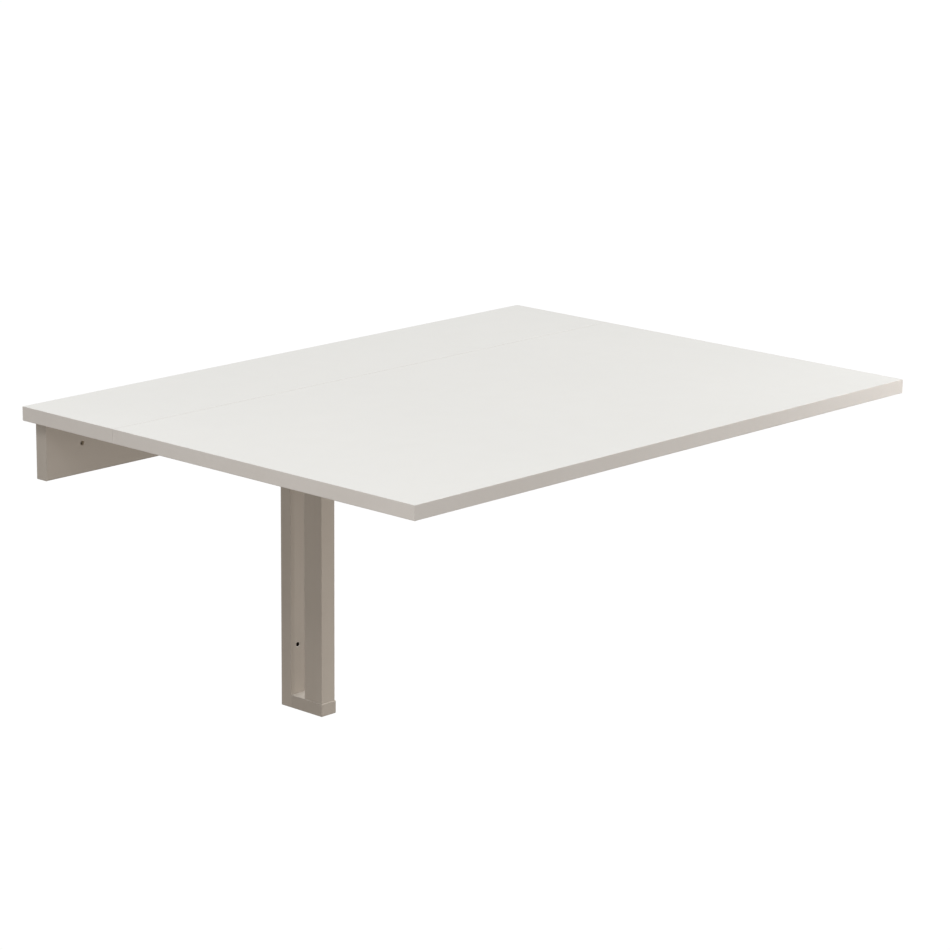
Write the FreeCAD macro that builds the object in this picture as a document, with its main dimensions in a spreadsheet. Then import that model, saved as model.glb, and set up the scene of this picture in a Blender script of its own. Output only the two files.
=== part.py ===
"""A wall mounted drop leaf table, in millimetres.

The origin lies on the wall, midway along the table and level with the wall screws of the batten.
+X runs along the wall, +Y points into the wall and +Z points up, so the table stands out along -Y.
The leaf is level, as in use. Two struts carry it, and their lower end sits on a shoe that slides in
the slot of the leg when the leaf folds down.
"""
import FreeCAD, Part
import math
import os
import re
import Sketcher

from FreeCAD import Placement, Rotation, Vector

# name, size in millimetres. Each is set by itself.
SIZES = (
    ("table_width", 790),
    ("shelf_depth", 147),
    ("seam_gap", 0.5),
    ("seam_round", 0.2),
    ("leaf_depth", 442.5),
    ("board_thick", 16),
    ("edge_band", 1),
    ("edge_round", 0.5),
    ("top_height", 50),
    ("batten_inset", 18),
    ("batten_height", 68),
    ("batten_thick", 16),
    ("wall_screw_radius", 2.5),
    ("wall_sink_radius", 3.1),
    ("outer_screw_inset", 52),
    ("inner_screw_spacing", 220),
    ("dowel_radius", 4),
    ("dowel_into_board", 12),
    ("dowel_into_batten", 18),
    ("inner_dowel_spacing", 120),
    ("middle_dowel_inset", 137),
    ("outer_dowel_inset", 27),
    ("leg_width", 23.5),
    ("leg_length", 343),
    ("leg_block_height", 16),
    ("leg_screw_above_foot", 76),
    ("slot_depth", 22),
    ("post_depth", 29),
    ("post_inset", 1),
    ("leg_dowel_radius", 3),
    ("leg_dowel_spacing", 12),
    ("leg_dowel_hold", 10),
    ("leg_dowel_length", 30),
    ("foot_screw_radius", 2),
    ("foot_screw_head_radius", 4),
    ("foot_screw_length", 45),
    ("foot_screw_spacing", 14),
    ("fit_gap", 0.05),
    ("side_gap", 0.3),
    ("plate_thick", 2),
    ("plate_screw_radius", 1.6),
    ("plate_screw_head_radius", 3.2),
    ("plate_screw_length", 12),
    ("angle_leg", 30),
    ("angle_width", 30),
    ("angle_spacing", 300),
    ("angle_screw_spacing", 16),
    ("angle_screw_reach", 20),
    ("joint_plate_width", 18),
    ("joint_plate_height", 32),
    ("joint_screw_side", 5),
    ("joint_screw_rise", 9),
    ("hinge_inset", 95),
    ("hinge_length", 60),
    ("hinge_plate_thick", 1.5),
    ("hinge_plate_depth", 24),
    ("hinge_screw_spacing", 20),
    ("hinge_screw_offset", 14),
    ("knuckle_radius", 4),
    ("hinge_pin_radius", 1.5),
    ("strut_pin_reach", 130),
    ("strut_pin_drop", 12),
    ("shoe_drop", 95),
    ("strut_width", 18),
    ("strut_thick", 3),
    ("strut_side_gap", 0.8),
    ("pivot_radius", 3),
    ("ear_thick", 2),
    ("ear_radius", 8),
    ("bracket_length", 60),
    ("bracket_screw_spacing", 44),
    ("bracket_screw_side", 6.5),
    ("clip_thick", 1),
    ("clip_radius", 5.5),
    ("pin_tail", 1.2),
    ("spacer_from_head", 70),
    ("spacer_radius", 4.5),
    ("spacer_rivet_radius", 2),
    ("spacer_rivet_head_radius", 4),
    ("rivet_head_radius", 5.5),
    ("rivet_head_thick", 1.6),
    ("shoe_height", 28),
    ("shoe_slack", 0.2),
    ("liner_thick", 1.5),
    ("liner_margin", 2),
    ("washer_radius", 6.5),
    ("buffer_thick", 2),
    ("buffer_margin", 3),
    ("stop_pin_radius", 3),
    ("stop_pin_in_strip", 8),
    ("stop_pin_in_post", 12),
)

# name, formula. Each follows from the sizes above.
PLACES = (
    ("half_width", "table_width / 2"),
    ("underside", "top_height - board_thick"),
    ("leaf_edge", "-shelf_depth - seam_gap"),
    ("table_front", "leaf_edge - leaf_depth"),
    ("batten_half", "half_width - batten_inset"),
    ("batten_bottom", "underside - batten_height"),
    ("outer_screw_spacing", "2 * (batten_half - outer_screw_inset)"),
    ("middle_dowel_spacing", "2 * (batten_half - middle_dowel_inset)"),
    ("outer_dowel_spacing", "2 * (batten_half - outer_dowel_inset)"),
    ("hinge_spacing", "half_width - hinge_inset"),
    ("leg_half", "leg_width / 2"),
    ("leg_bottom", "batten_bottom - leg_length"),
    ("slot_front", "-batten_thick - slot_depth"),
    ("slot_middle", "-batten_thick - slot_depth / 2"),
    ("post_front", "slot_front - post_depth"),
    ("post_half", "leg_half - post_inset"),
    ("post_middle", "slot_front - post_depth / 2"),
    ("block_front", "post_front - post_inset"),
    ("block_depth", "-batten_thick - block_front"),
    ("upper_block_bottom", "underside - leg_block_height"),
    ("lower_block_top", "leg_bottom + leg_block_height"),
    ("leg_screw_height", "leg_bottom + leg_screw_above_foot"),
    ("leg_dowel_start", "leg_dowel_hold - batten_thick - leg_dowel_length"),
    ("hinge_y", "-shelf_depth - seam_gap / 2"),
    ("hinge_z", "underside - knuckle_radius - side_gap"),
    ("knuckle_pitch", "hinge_length / 5"),
    ("knuckle_clear", "knuckle_radius + side_gap"),
    ("strut_pin_y", "hinge_y - strut_pin_reach"),
    ("strut_pin_z", "underside - strut_pin_drop"),
    ("strut_reach", "slot_middle - strut_pin_y"),
    ("strut_length", "sqrt(strut_reach ^ 2 + shoe_drop ^ 2)"),
    ("strut_inner", "leg_half + strut_side_gap"),
    ("strut_outer", "strut_inner + strut_thick"),
    ("ear_outer", "strut_inner - side_gap"),
    ("shoe_z", "strut_pin_z - shoe_drop"),
    ("shoe_half", "post_half - side_gap"),
    ("shoe_core_half", "slot_depth / 2 - liner_thick - shoe_slack"),
    ("shoe_bottom", "shoe_z - shoe_height / 2"),
    ("stop_pin_z", "shoe_z + shoe_height / 2 + side_gap + stop_pin_radius"),
    ("stop_pin_length", "stop_pin_in_strip + slot_depth + stop_pin_in_post"),
)

NAMES = {name for name, _ in SIZES + PLACES}
SIDES = (("left", -1), ("right", 1))
HINGES = (("left", -1), ("middle", 0), ("right", 1))
SHELF_KNUCKLES = (0, 2, 4)
LEAF_KNUCKLES = (1, 3)
ALONG = {
    "X": Rotation(Vector(0, 1, 0), 90),
    "Y": Rotation(Vector(1, 0, 0), -90),
    "Z": Rotation(),
}

doc = FreeCAD.newDocument("DropLeafTable")
sheet = doc.addObject("Spreadsheet::Sheet", "Sizes")
parts = []


# ---------------------------------------------------------------- sheet and helpers


def fill_sheet():
    """Write each size as a plain number, and each place as a formula of the sizes."""
    for row, (name, entry) in enumerate(SIZES + PLACES, start=1):
        sheet.set(f"A{row}", name)
        sheet.set(f"B{row}", f"={entry}" if isinstance(entry, str) else str(entry))
        sheet.setAlias(f"B{row}", name)
    doc.recompute()


def size(name):
    """The number that the sheet holds under a name."""
    return float(sheet.get(name))


def linked(formula):
    """A formula with each size's name turned into a reference to its cell."""
    return re.sub(r"[a-z_]+", lambda word: "Sizes." * (word[0] in NAMES) + word[0], str(formula))


def bind(thing, **formulas):
    """Tie properties of an object to formulas."""
    for name, formula in formulas.items():
        thing.setExpression(name, linked(formula))


def put(thing, at, turned=ALONG["Z"]):
    """Turn an object and tie its place to three formulas."""
    thing.Placement = Placement(Vector(), turned)
    for axis, formula in zip("xyz", at):
        thing.setExpression(f"Placement.Base.{axis}", linked(formula))
    return thing


def node(thing, label):
    """Name an object as one finished sub-part."""
    thing.Label = label
    parts.append(thing)
    return thing


def box(at, spans):
    """A box from its lowest corner and its three spans."""
    made = doc.addObject("Part::Box", "Block")
    bind(made, Length=spans[0], Width=spans[1], Height=spans[2])
    return put(made, at)


def rod(radius, length, at, along="Z"):
    """A round bar that starts at a point and runs the positive way along an axis."""
    made = doc.addObject("Part::Cylinder", "Rod")
    bind(made, Radius=radius, Height=length)
    return put(made, at, ALONG[along])


def cone(start, end, length, at, along="Z"):
    """A cone from its radius at a point to its radius further along an axis."""
    made = doc.addObject("Part::Cone", "Sink")
    bind(made, Radius1=start, Radius2=end, Height=length)
    return put(made, at, ALONG[along])


def group(things):
    """Several solids as one object."""
    made = doc.addObject("Part::Compound", "Group")
    made.Links = things
    return made


def cut(blank, tools):
    """An object without the space of some tools."""
    made = doc.addObject("Part::Cut", "Cut")
    made.Base = blank
    made.Tool = tools[0] if len(tools) == 1 else group(tools)
    return made


def joined(things):
    """Several objects fused into one solid."""
    made = doc.addObject("Part::MultiFuse", "Joined")
    made.Shapes = things
    made.Refine = True
    return made


def ring(outer, inner, length, at, along="X"):
    """A round bar with a hole along its middle."""
    return cut(rod(outer, length, at, along), [rod(inner, length, at, along)])


def new_body(role):
    """A body with an empty sketch on one of its own origin planes."""
    body = doc.addObject("PartDesign::Body", "Piece")
    sketch = body.newObject("Sketcher::SketchObject", "Outline")
    plane = next(feature for feature in body.Origin.OriginFeatures if feature.Role == role)
    sketch.AttachmentSupport = [(plane, "")]
    sketch.MapMode = "FlatFace"
    return body, sketch


def outline(sketch, corners):
    """Draw a closed outline. A corner is two names of sizes, or zero, and all lie at or above zero."""
    spots = [Vector(*(size(name) if name else 0 for name in corner)) for corner in corners]
    for start, end in zip(spots, spots[1:] + spots[:1]):
        sketch.addGeometry(Part.LineSegment(start, end), False)
    for line, corner in enumerate(corners):
        sketch.addConstraint(Sketcher.Constraint("Coincident", line, 2, (line + 1) % len(corners), 1))
        for name, way, axis in zip(corner, ("DistanceX", "DistanceY"), (-2, -1)):
            if not name:
                sketch.addConstraint(Sketcher.Constraint("PointOnObject", line, 1, axis))
                continue
            index = sketch.addConstraint(Sketcher.Constraint(way, -1, 1, line, 1, size(name)))
            sketch.setExpression(f"Constraints[{index}]", linked(name))


def pad(body, sketch, length):
    """Pad a sketch of a body by a formula."""
    made = body.newObject("PartDesign::Pad", "Pad")
    made.Profile = sketch
    bind(made, Length=length)
    doc.recompute()
    return made


def round_edges(body, solid, wanted, radius):
    """Round the edges of a body's box whose middles lie on the wanted sides: -1 low, 0 middle, 1 high."""
    bounds = solid.Shape.BoundBox
    ends = ((bounds.XMin, bounds.XMax), (bounds.YMin, bounds.YMax), (bounds.ZMin, bounds.ZMax))
    names = []
    for number, edge in enumerate(solid.Shape.Edges, start=1):
        middle = edge.CenterOfMass
        shares = [(value - low) / (high - low) for value, (low, high) in zip(middle, ends)]
        if tuple(round(2 * share) - 1 for share in shares) in wanted:
            names.append(f"Edge{number}")
    made = body.newObject("PartDesign::Fillet", "Round")
    made.Base = (solid, names)
    bind(made, Radius=radius)
    doc.recompute()


def board(at, spans, rounded=(), radius="edge_round"):
    """A board as a padded rectangle. Its spans are names of sizes or formulas."""
    body, sketch = new_body("XY_Plane")
    length, width = 100.0, 50.0
    spots = [Vector(0, 0), Vector(length, 0), Vector(length, width), Vector(0, width)]
    for start, end in zip(spots, spots[1:] + spots[:1]):
        sketch.addGeometry(Part.LineSegment(start, end), False)
    for line, way in enumerate(("Horizontal", "Vertical", "Horizontal", "Vertical")):
        sketch.addConstraint(Sketcher.Constraint("Coincident", line, 2, (line + 1) % 4, 1))
        sketch.addConstraint(Sketcher.Constraint(way, line))
    sketch.addConstraint(Sketcher.Constraint("Coincident", 0, 1, -1, 1))
    for way, line, begin in (("DistanceX", 0, length), ("DistanceY", 1, width)):
        index = sketch.addConstraint(Sketcher.Constraint(way, line, 1, line, 2, begin))
        sketch.setExpression(f"Constraints[{index}]", linked(spans[line]))
    solid = pad(body, sketch, spans[2])
    if rounded:
        round_edges(body, solid, rounded, radius)
    return put(body, at)


# ---------------------------------------------------------------- fasteners


def screw_shape(radius, head_radius, length):
    """A countersunk screw. Its head's face is at the origin and its point is up +Z."""
    sink = head_radius - radius
    corners = [(0, 0), (head_radius, 0), (radius, sink), (radius, length - 2 * radius), (0, length), (0, 0)]
    profile = Part.makePolygon([Vector(across, 0, up) for across, up in corners])
    screw = Part.Face(profile).revolve(Vector(), Vector(0, 0, 1), 360)
    long, thin = 0.9 * head_radius, 0.3 * head_radius
    for width, depth in ((long, thin), (thin, long)):
        screw = screw.cut(Part.makeBox(width, depth, sink, Vector(-width / 2, -depth / 2, 0)))
    return screw


def rivet_shape(radius, length, head_radius, head_thick):
    """A rivet. Its shank starts at the origin, and its head, the cap of a ball, is at its far end up +Z."""
    rim, crown = Vector(head_radius, 0, length), Vector(0, 0, length + head_thick)
    ball = (head_radius**2 + head_thick**2) / (2 * head_thick)
    half_way = math.asin(head_radius / ball) / 2
    bulge = Vector(ball * math.sin(half_way), 0, length + head_thick - ball + ball * math.cos(half_way))
    corners = [Vector(), Vector(radius, 0, 0), Vector(radius, 0, length), rim]
    edges = [Part.LineSegment(start, end).toShape() for start, end in zip(corners, corners[1:])]
    edges.append(Part.Arc(rim, bulge, crown).toShape())
    edges.append(Part.LineSegment(crown, Vector()).toShape())
    return Part.Face(Part.Wire(edges)).revolve(Vector(), Vector(0, 0, 1), 360)


def placed(shape, at, turned):
    """A finished shape, turned, with its place tied to formulas."""
    made = doc.addObject("Part::Feature", "Fastener")
    made.Shape = shape
    return put(made, at, turned)


def screws(label, kind, spots):
    """A group of countersunk screws of one kind, at spots that each give a place and an axis."""
    shape = screw_shape(size(f"{kind}_radius"), size(f"{kind}_head_radius"), size(f"{kind}_length"))
    return node(group([placed(shape.copy(), at, ALONG[along]) for at, along in spots]), label)


def screw_holes(kind, spots):
    """The space that countersunk screws of one kind need, as tools for a cut."""
    tools = []
    for at, along in spots:
        wide, deep = f"{kind}_head_radius + fit_gap", f"{kind}_head_radius - {kind}_radius"
        tools.append(rod(f"{kind}_radius + fit_gap", f"{kind}_length + side_gap", at, along))
        tools.append(cone(wide, f"{kind}_radius + fit_gap", deep, at, along))
    return tools


def wall_hole(x, z):
    """A hole with a broken edge for a wall screw, through a board that lies on the wall."""
    start = (x, "-batten_thick", z)
    sink = cone("wall_sink_radius", "wall_screw_radius", "wall_sink_radius - wall_screw_radius", start, "Y")
    return [rod("wall_screw_radius", "batten_thick", start, "Y"), sink]


def pegs(spots, radius, length, along):
    """Dowels of one size at several spots, also used with a wider radius as the tools for their holes."""
    return [rod(radius, length, at, along) for at in spots]


# ---------------------------------------------------------------- where the fasteners go

WALL_SCREWS_X = [
    f"{side} * {name} / 2" for name in ("outer_screw_spacing", "inner_screw_spacing") for side in (-1, 1)
]
SHELF_DOWELS = [
    (f"{side} * {name} / 2", "-batten_thick / 2", "underside - dowel_into_batten")
    for name in ("inner_dowel_spacing", "middle_dowel_spacing", "outer_dowel_spacing")
    for side in (-1, 1)
]
ANGLE_WALL_SCREWS = [
    ((f"{side} * angle_spacing / 2 + {step} * angle_screw_spacing / 2", "-batten_thick - plate_thick",
      "underside - angle_screw_reach"), "Y")
    for side in (-1, 1)
    for step in (-1, 1)
]
ANGLE_SHELF_SCREWS = [
    ((f"{side} * angle_spacing / 2 + {step} * angle_screw_spacing / 2", "-batten_thick - angle_screw_reach",
      "underside - plate_thick"), "Z")
    for side in (-1, 1)
    for step in (-1, 1)
]
JOINT_SCREWS = [
    ((f"{side} * joint_screw_side", "-batten_thick - plate_thick",
      f"batten_bottom + {rise} * joint_screw_rise"), "Y")
    for side in (-1, 1)
    for rise in (-1, 1)
]
FOOT_SCREWS = [
    (("0", f"post_middle + {step} * foot_screw_spacing / 2", "leg_bottom"), "Z") for step in (-1, 1)
]
BRACKET_SCREWS = [
    ((f"{side} * bracket_screw_side", f"strut_pin_y + {step} * bracket_screw_spacing / 2",
      "underside - plate_thick"), "Z")
    for side in (-1, 1)
    for step in (-1, 1)
]
LOWER_PEGS = [
    (f"{side} * leg_dowel_spacing / 2", "leg_dowel_start", "leg_bottom + leg_block_height / 2")
    for side in (-1, 1)
]
UPPER_PEGS = [
    (f"{side} * leg_dowel_spacing / 2", "leg_dowel_start", "underside - leg_block_height / 2")
    for side in (-1, 1)
]
POST_PEG = [("0", "post_middle", "upper_block_bottom + leg_dowel_hold - leg_dowel_length")]
STOP_PIN = ("0", "slot_front - stop_pin_in_post", "stop_pin_z")


def hinge_screws(toward_wall):
    """The screws of the three hinges on the shelf's side (1) or on the leaf's side (-1)."""
    return [
        ((f"{side} * hinge_spacing + {step} * hinge_screw_spacing",
          f"hinge_y + {toward_wall} * hinge_screw_offset", "underside - hinge_plate_thick"), "Z")
        for _, side in HINGES
        for step in (-1, 0, 1)
    ]


# ---------------------------------------------------------------- fixed shelf and batten


def make_shelf():
    """The narrow board that stays level on the batten, with its edge bands."""
    low = ("-half_width + edge_band", "-shelf_depth + edge_band", "underside")
    core = board(low, ("table_width - 2 * edge_band", "shelf_depth - edge_band", "board_thick"))
    tools = pegs(SHELF_DOWELS, "dowel_radius + fit_gap", "dowel_into_batten + dowel_into_board", "Z")
    tools += screw_holes("plate_screw", ANGLE_SHELF_SCREWS + hinge_screws(1))
    node(cut(core, tools), "shelf_board")
    for name, side in SIDES:
        start = "-half_width" if side < 0 else "half_width - edge_band"
        rounded = {(side, 0, -1), (side, 0, 1)}
        spans = ("edge_band", "shelf_depth", "board_thick")
        band = board((start, "-shelf_depth", "underside"), spans, rounded)
        node(band, f"shelf_band_{name}")
    spans = ("table_width - 2 * edge_band", "edge_band", "board_thick")
    band = board(("-half_width + edge_band", "-shelf_depth", "underside"), spans, {(0, -1, 1)}, "seam_round")
    node(band, "shelf_band_front")


def make_batten():
    """The board on the wall that carries the shelf, with its edge bands."""
    low = ("-batten_half + edge_band", "-batten_thick", "batten_bottom + edge_band")
    core = board(low, ("2 * (batten_half - edge_band)", "batten_thick", "batten_height - edge_band"))
    tools = pegs(SHELF_DOWELS, "dowel_radius + fit_gap", "dowel_into_batten + dowel_into_board", "Z")
    for x in WALL_SCREWS_X:
        tools += wall_hole(x, "0")
    tools += screw_holes("plate_screw", ANGLE_WALL_SCREWS + JOINT_SCREWS)
    tools += pegs(UPPER_PEGS, "leg_dowel_radius + fit_gap", "leg_dowel_length", "Y")
    node(cut(core, tools), "wall_batten")
    for name, side in SIDES:
        start = "-batten_half" if side < 0 else "batten_half - edge_band"
        spans = ("edge_band", "batten_thick", "batten_height")
        band = board((start, "-batten_thick", "batten_bottom"), spans, {(side, -1, 0)})
        node(band, f"batten_band_{name}")
    spans = ("2 * (batten_half - edge_band)", "batten_thick", "edge_band")
    band = board(("-batten_half + edge_band", "-batten_thick", "batten_bottom"), spans, {(0, -1, -1)})
    node(band, "batten_band_lower")
    dowels = pegs(SHELF_DOWELS, "dowel_radius", "dowel_into_batten + dowel_into_board", "Z")
    node(group(dowels), "shelf_dowels")


def make_angles():
    """Two steel angles that hold the shelf square to the batten, and their screws."""
    corners = ((0, 0), ("angle_leg", 0), ("angle_leg", "plate_thick"), ("plate_thick", "plate_thick"),
               ("plate_thick", "angle_leg"), (0, "angle_leg"))
    for name, side in SIDES:
        body, sketch = new_body("YZ_Plane")
        outline(sketch, corners)
        pad(body, sketch, "angle_width")
        start = (f"{side} * angle_spacing / 2 - angle_width / 2", "-batten_thick", "underside")
        put(body, start, Rotation(Vector(1, 0, 0), 180))
        tools = screw_holes("plate_screw", ANGLE_WALL_SCREWS + ANGLE_SHELF_SCREWS)
        node(cut(body, tools), f"corner_angle_{name}")
    screws("corner_angle_screws", "plate_screw", ANGLE_WALL_SCREWS + ANGLE_SHELF_SCREWS)


# ---------------------------------------------------------------- leg


def make_leg():
    """The slotted leg on the wall: a strip, a post in front of it and a block at each end."""
    strip = board(("-leg_half", "-batten_thick", "leg_bottom"), ("leg_width", "batten_thick", "leg_length"),
                  {(-1, -1, 0), (1, -1, 0)})
    peg_hole, peg_length = "leg_dowel_radius + fit_gap", "leg_dowel_length"
    tools = wall_hole("0", "leg_screw_height") + screw_holes("plate_screw", JOINT_SCREWS)
    tools += pegs(LOWER_PEGS, peg_hole, peg_length, "Y")
    tools += pegs([STOP_PIN], "stop_pin_radius + fit_gap", "stop_pin_length", "Y")
    node(cut(strip, tools), "leg_wall_strip")

    spans = ("leg_width", "block_depth", "leg_block_height")
    around = {(-1, -1, 0), (1, -1, 0), (0, -1, -1), (-1, 0, -1), (1, 0, -1)}
    ledge = {(0, -1, 1), (-1, 0, 1), (1, 0, 1)}
    lower = board(("-leg_half", "block_front", "leg_bottom"), spans, around | ledge)
    tools = pegs(LOWER_PEGS, peg_hole, peg_length, "Y") + screw_holes("foot_screw", FOOT_SCREWS)
    node(cut(lower, tools), "leg_lower_block")
    upper = board(("-leg_half", "block_front", "upper_block_bottom"), spans, around)
    tools = pegs(UPPER_PEGS, peg_hole, peg_length, "Y") + pegs(POST_PEG, peg_hole, peg_length, "Z")
    node(cut(upper, tools), "leg_upper_block")

    start = ("-post_half", "post_front", "lower_block_top")
    spans = ("2 * post_half", "post_depth", "upper_block_bottom - lower_block_top")
    post = board(start, spans, {(-1, -1, 0), (1, -1, 0), (-1, 1, 0), (1, 1, 0)})
    tools = pegs(POST_PEG, peg_hole, peg_length, "Z") + screw_holes("foot_screw", FOOT_SCREWS)
    tools += pegs([STOP_PIN], "stop_pin_radius + fit_gap", "stop_pin_length", "Y")
    node(cut(post, tools), "leg_guide_post")

    dowels = pegs(LOWER_PEGS + UPPER_PEGS, "leg_dowel_radius", peg_length, "Y")
    node(group(dowels + pegs(POST_PEG, "leg_dowel_radius", peg_length, "Z")), "leg_dowels")
    screws("post_foot_screws", "foot_screw", FOOT_SCREWS)
    node(rod("stop_pin_radius", "stop_pin_length", STOP_PIN, "Y"), "shoe_stop_pin")

    bottom = "batten_bottom - joint_plate_height / 2"
    low = ("-joint_plate_width / 2", "-batten_thick - plate_thick", bottom)
    plate = board(low, ("joint_plate_width", "plate_thick", "joint_plate_height"))
    node(cut(plate, screw_holes("plate_screw", JOINT_SCREWS)), "leg_joint_plate")
    screws("leg_joint_screws", "plate_screw", JOINT_SCREWS)


# ---------------------------------------------------------------- leaf and hinges


def make_leaf():
    """The drop leaf, with its edge bands."""
    low = ("-half_width + edge_band", "table_front + edge_band", "underside")
    core = board(low, ("table_width - 2 * edge_band", "leaf_depth - 2 * edge_band", "board_thick"))
    node(cut(core, screw_holes("plate_screw", hinge_screws(-1) + BRACKET_SCREWS)), "leaf_board")
    for name, side in SIDES:
        start = "-half_width" if side < 0 else "half_width - edge_band"
        rounded = {(side, 0, -1), (side, 0, 1)}
        spans = ("edge_band", "leaf_depth", "board_thick")
        band = board((start, "table_front", "underside"), spans, rounded)
        node(band, f"leaf_band_{name}")
    spans = ("table_width - 2 * edge_band", "edge_band", "board_thick")
    for name, start, side, radius in (("front", "table_front", -1, "edge_round"),
                                      ("hinge_side", "leaf_edge - edge_band", 1, "seam_round")):
        rounded = {(0, side, -1), (0, side, 1)}
        band = board(("-half_width + edge_band", start, "underside"), spans, rounded, radius)
        node(band, f"leaf_band_{name}")


def hinge_half(middle, toward_wall, knuckles):
    """One plate of a butt hinge with its knuckles. It lies toward the wall (1) or toward the leaf (-1)."""
    begin = f"{middle} - hinge_length / 2"
    level = "underside - hinge_plate_thick"
    near = "hinge_y + knuckle_clear" if toward_wall > 0 else "hinge_y - hinge_plate_depth"
    flat = ("hinge_length", "hinge_plate_depth - knuckle_clear", "hinge_plate_thick")
    pieces = [box((begin, near, level), flat)]
    for number in knuckles:
        start = f"{begin} + {number} * knuckle_pitch + side_gap / 2"
        length = "knuckle_pitch - side_gap"
        tab = "hinge_y" if toward_wall > 0 else "hinge_y - knuckle_clear"
        pieces.append(box((start, tab, level), (length, "knuckle_clear", "hinge_plate_thick")))
        pieces.append(rod("knuckle_radius", length, (start, "hinge_y", "hinge_z"), "X"))
    bore = rod("hinge_pin_radius + fit_gap", "hinge_length", (begin, "hinge_y", "hinge_z"), "X")
    return cut(joined(pieces), [bore] + screw_holes("plate_screw", hinge_screws(toward_wall)))


def make_hinges():
    """Three butt hinges under the seam, their pins and their screws."""
    for name, side in HINGES:
        middle = f"{side} * hinge_spacing"
        node(hinge_half(middle, 1, SHELF_KNUCKLES), f"hinge_{name}_shelf_plate")
        node(hinge_half(middle, -1, LEAF_KNUCKLES), f"hinge_{name}_leaf_plate")
        start = (f"{middle} - hinge_length / 2", "hinge_y", "hinge_z")
        node(rod("hinge_pin_radius", "hinge_length", start, "X"), f"hinge_{name}_pin")
    screws("hinge_shelf_screws", "plate_screw", hinge_screws(1))
    screws("hinge_leaf_screws", "plate_screw", hinge_screws(-1))


# ---------------------------------------------------------------- struts and shoe


def make_strut_bracket():
    """The bracket under the leaf that holds the struts' upper pin."""
    base = box(("-ear_outer", "strut_pin_y - bracket_length / 2", "underside - plate_thick"),
               ("2 * ear_outer", "bracket_length", "plate_thick"))
    pieces = [base]
    for start in ("-ear_outer", "ear_outer - ear_thick"):
        low = (start, "strut_pin_y - ear_radius", "strut_pin_z")
        pieces.append(box(low, ("ear_thick", "2 * ear_radius", "strut_pin_drop")))
        pieces.append(rod("ear_radius", "ear_thick", (start, "strut_pin_y", "strut_pin_z"), "X"))
    hole = rod("pivot_radius + fit_gap", "2 * ear_outer", ("-ear_outer", "strut_pin_y", "strut_pin_z"), "X")
    node(cut(joined(pieces), [hole] + screw_holes("plate_screw", BRACKET_SCREWS)), "strut_bracket")
    screws("strut_bracket_screws", "plate_screw", BRACKET_SCREWS)

    half = "(strut_outer + side_gap + clip_thick + pin_tail)"
    pin = rod("pivot_radius", f"2 * {half}", (f"-{half}", "strut_pin_y", "strut_pin_z"), "X")
    node(pin, "strut_head_pin")
    clips = []
    for start in ("strut_outer + side_gap", "-strut_outer - side_gap - clip_thick"):
        spot = (start, "strut_pin_y", "strut_pin_z")
        clips.append(ring("clip_radius", "pivot_radius + fit_gap", "clip_thick", spot))
    node(group(clips), "strut_head_clips")


def make_struts():
    """The pair of flat struts, their spacer and rivets. Drawn upright from their foot, then leaned out."""
    lean = Rotation(Vector(1, 0, 0), math.degrees(math.atan2(size("strut_reach"), size("shoe_drop"))))
    foot = ("0", "slot_middle", "shoe_z")
    brace = "strut_length - spacer_from_head"
    for name, side in SIDES:
        start = "-strut_outer" if side < 0 else "strut_inner"
        bar = box((start, "-strut_width / 2", "0"), ("strut_thick", "strut_width", "strut_length"))
        pivots = [(start, "0", "0"), (start, "0", "strut_length")]
        ends = pegs(pivots, "strut_width / 2", "strut_thick", "X")
        tools = pegs(pivots, "pivot_radius + fit_gap", "strut_thick", "X")
        tools.append(rod("spacer_rivet_radius + fit_gap", "strut_thick", (start, "0", brace), "X"))
        node(put(cut(joined([bar] + ends), tools), foot, lean), f"strut_{name}")

    hole = "spacer_rivet_radius + fit_gap"
    tube = ring("spacer_radius", hole, "2 * strut_inner", ("-strut_inner", "0", brace))
    node(put(tube, foot, lean), "strut_spacer")
    shank = rivet_shape(size("spacer_rivet_radius"), size("strut_outer"), size("spacer_rivet_head_radius"),
                        size("rivet_head_thick"))
    stub = rivet_shape(size("pivot_radius"), size("strut_thick"), size("rivet_head_radius"),
                       size("rivet_head_thick"))
    ways = (ALONG["X"], Rotation(Vector(0, 1, 0), -90))
    halves = [placed(shank.copy(), ("0", "0", brace), way) for way in ways]
    node(put(joined(halves), foot, lean), "strut_spacer_rivet")
    starts = ("strut_inner", "-strut_inner")
    stubs = [placed(stub.copy(), (start, "0", "0"), way) for start, way in zip(starts, ways)]
    node(put(group(stubs), foot, lean), "strut_foot_rivets")


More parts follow.
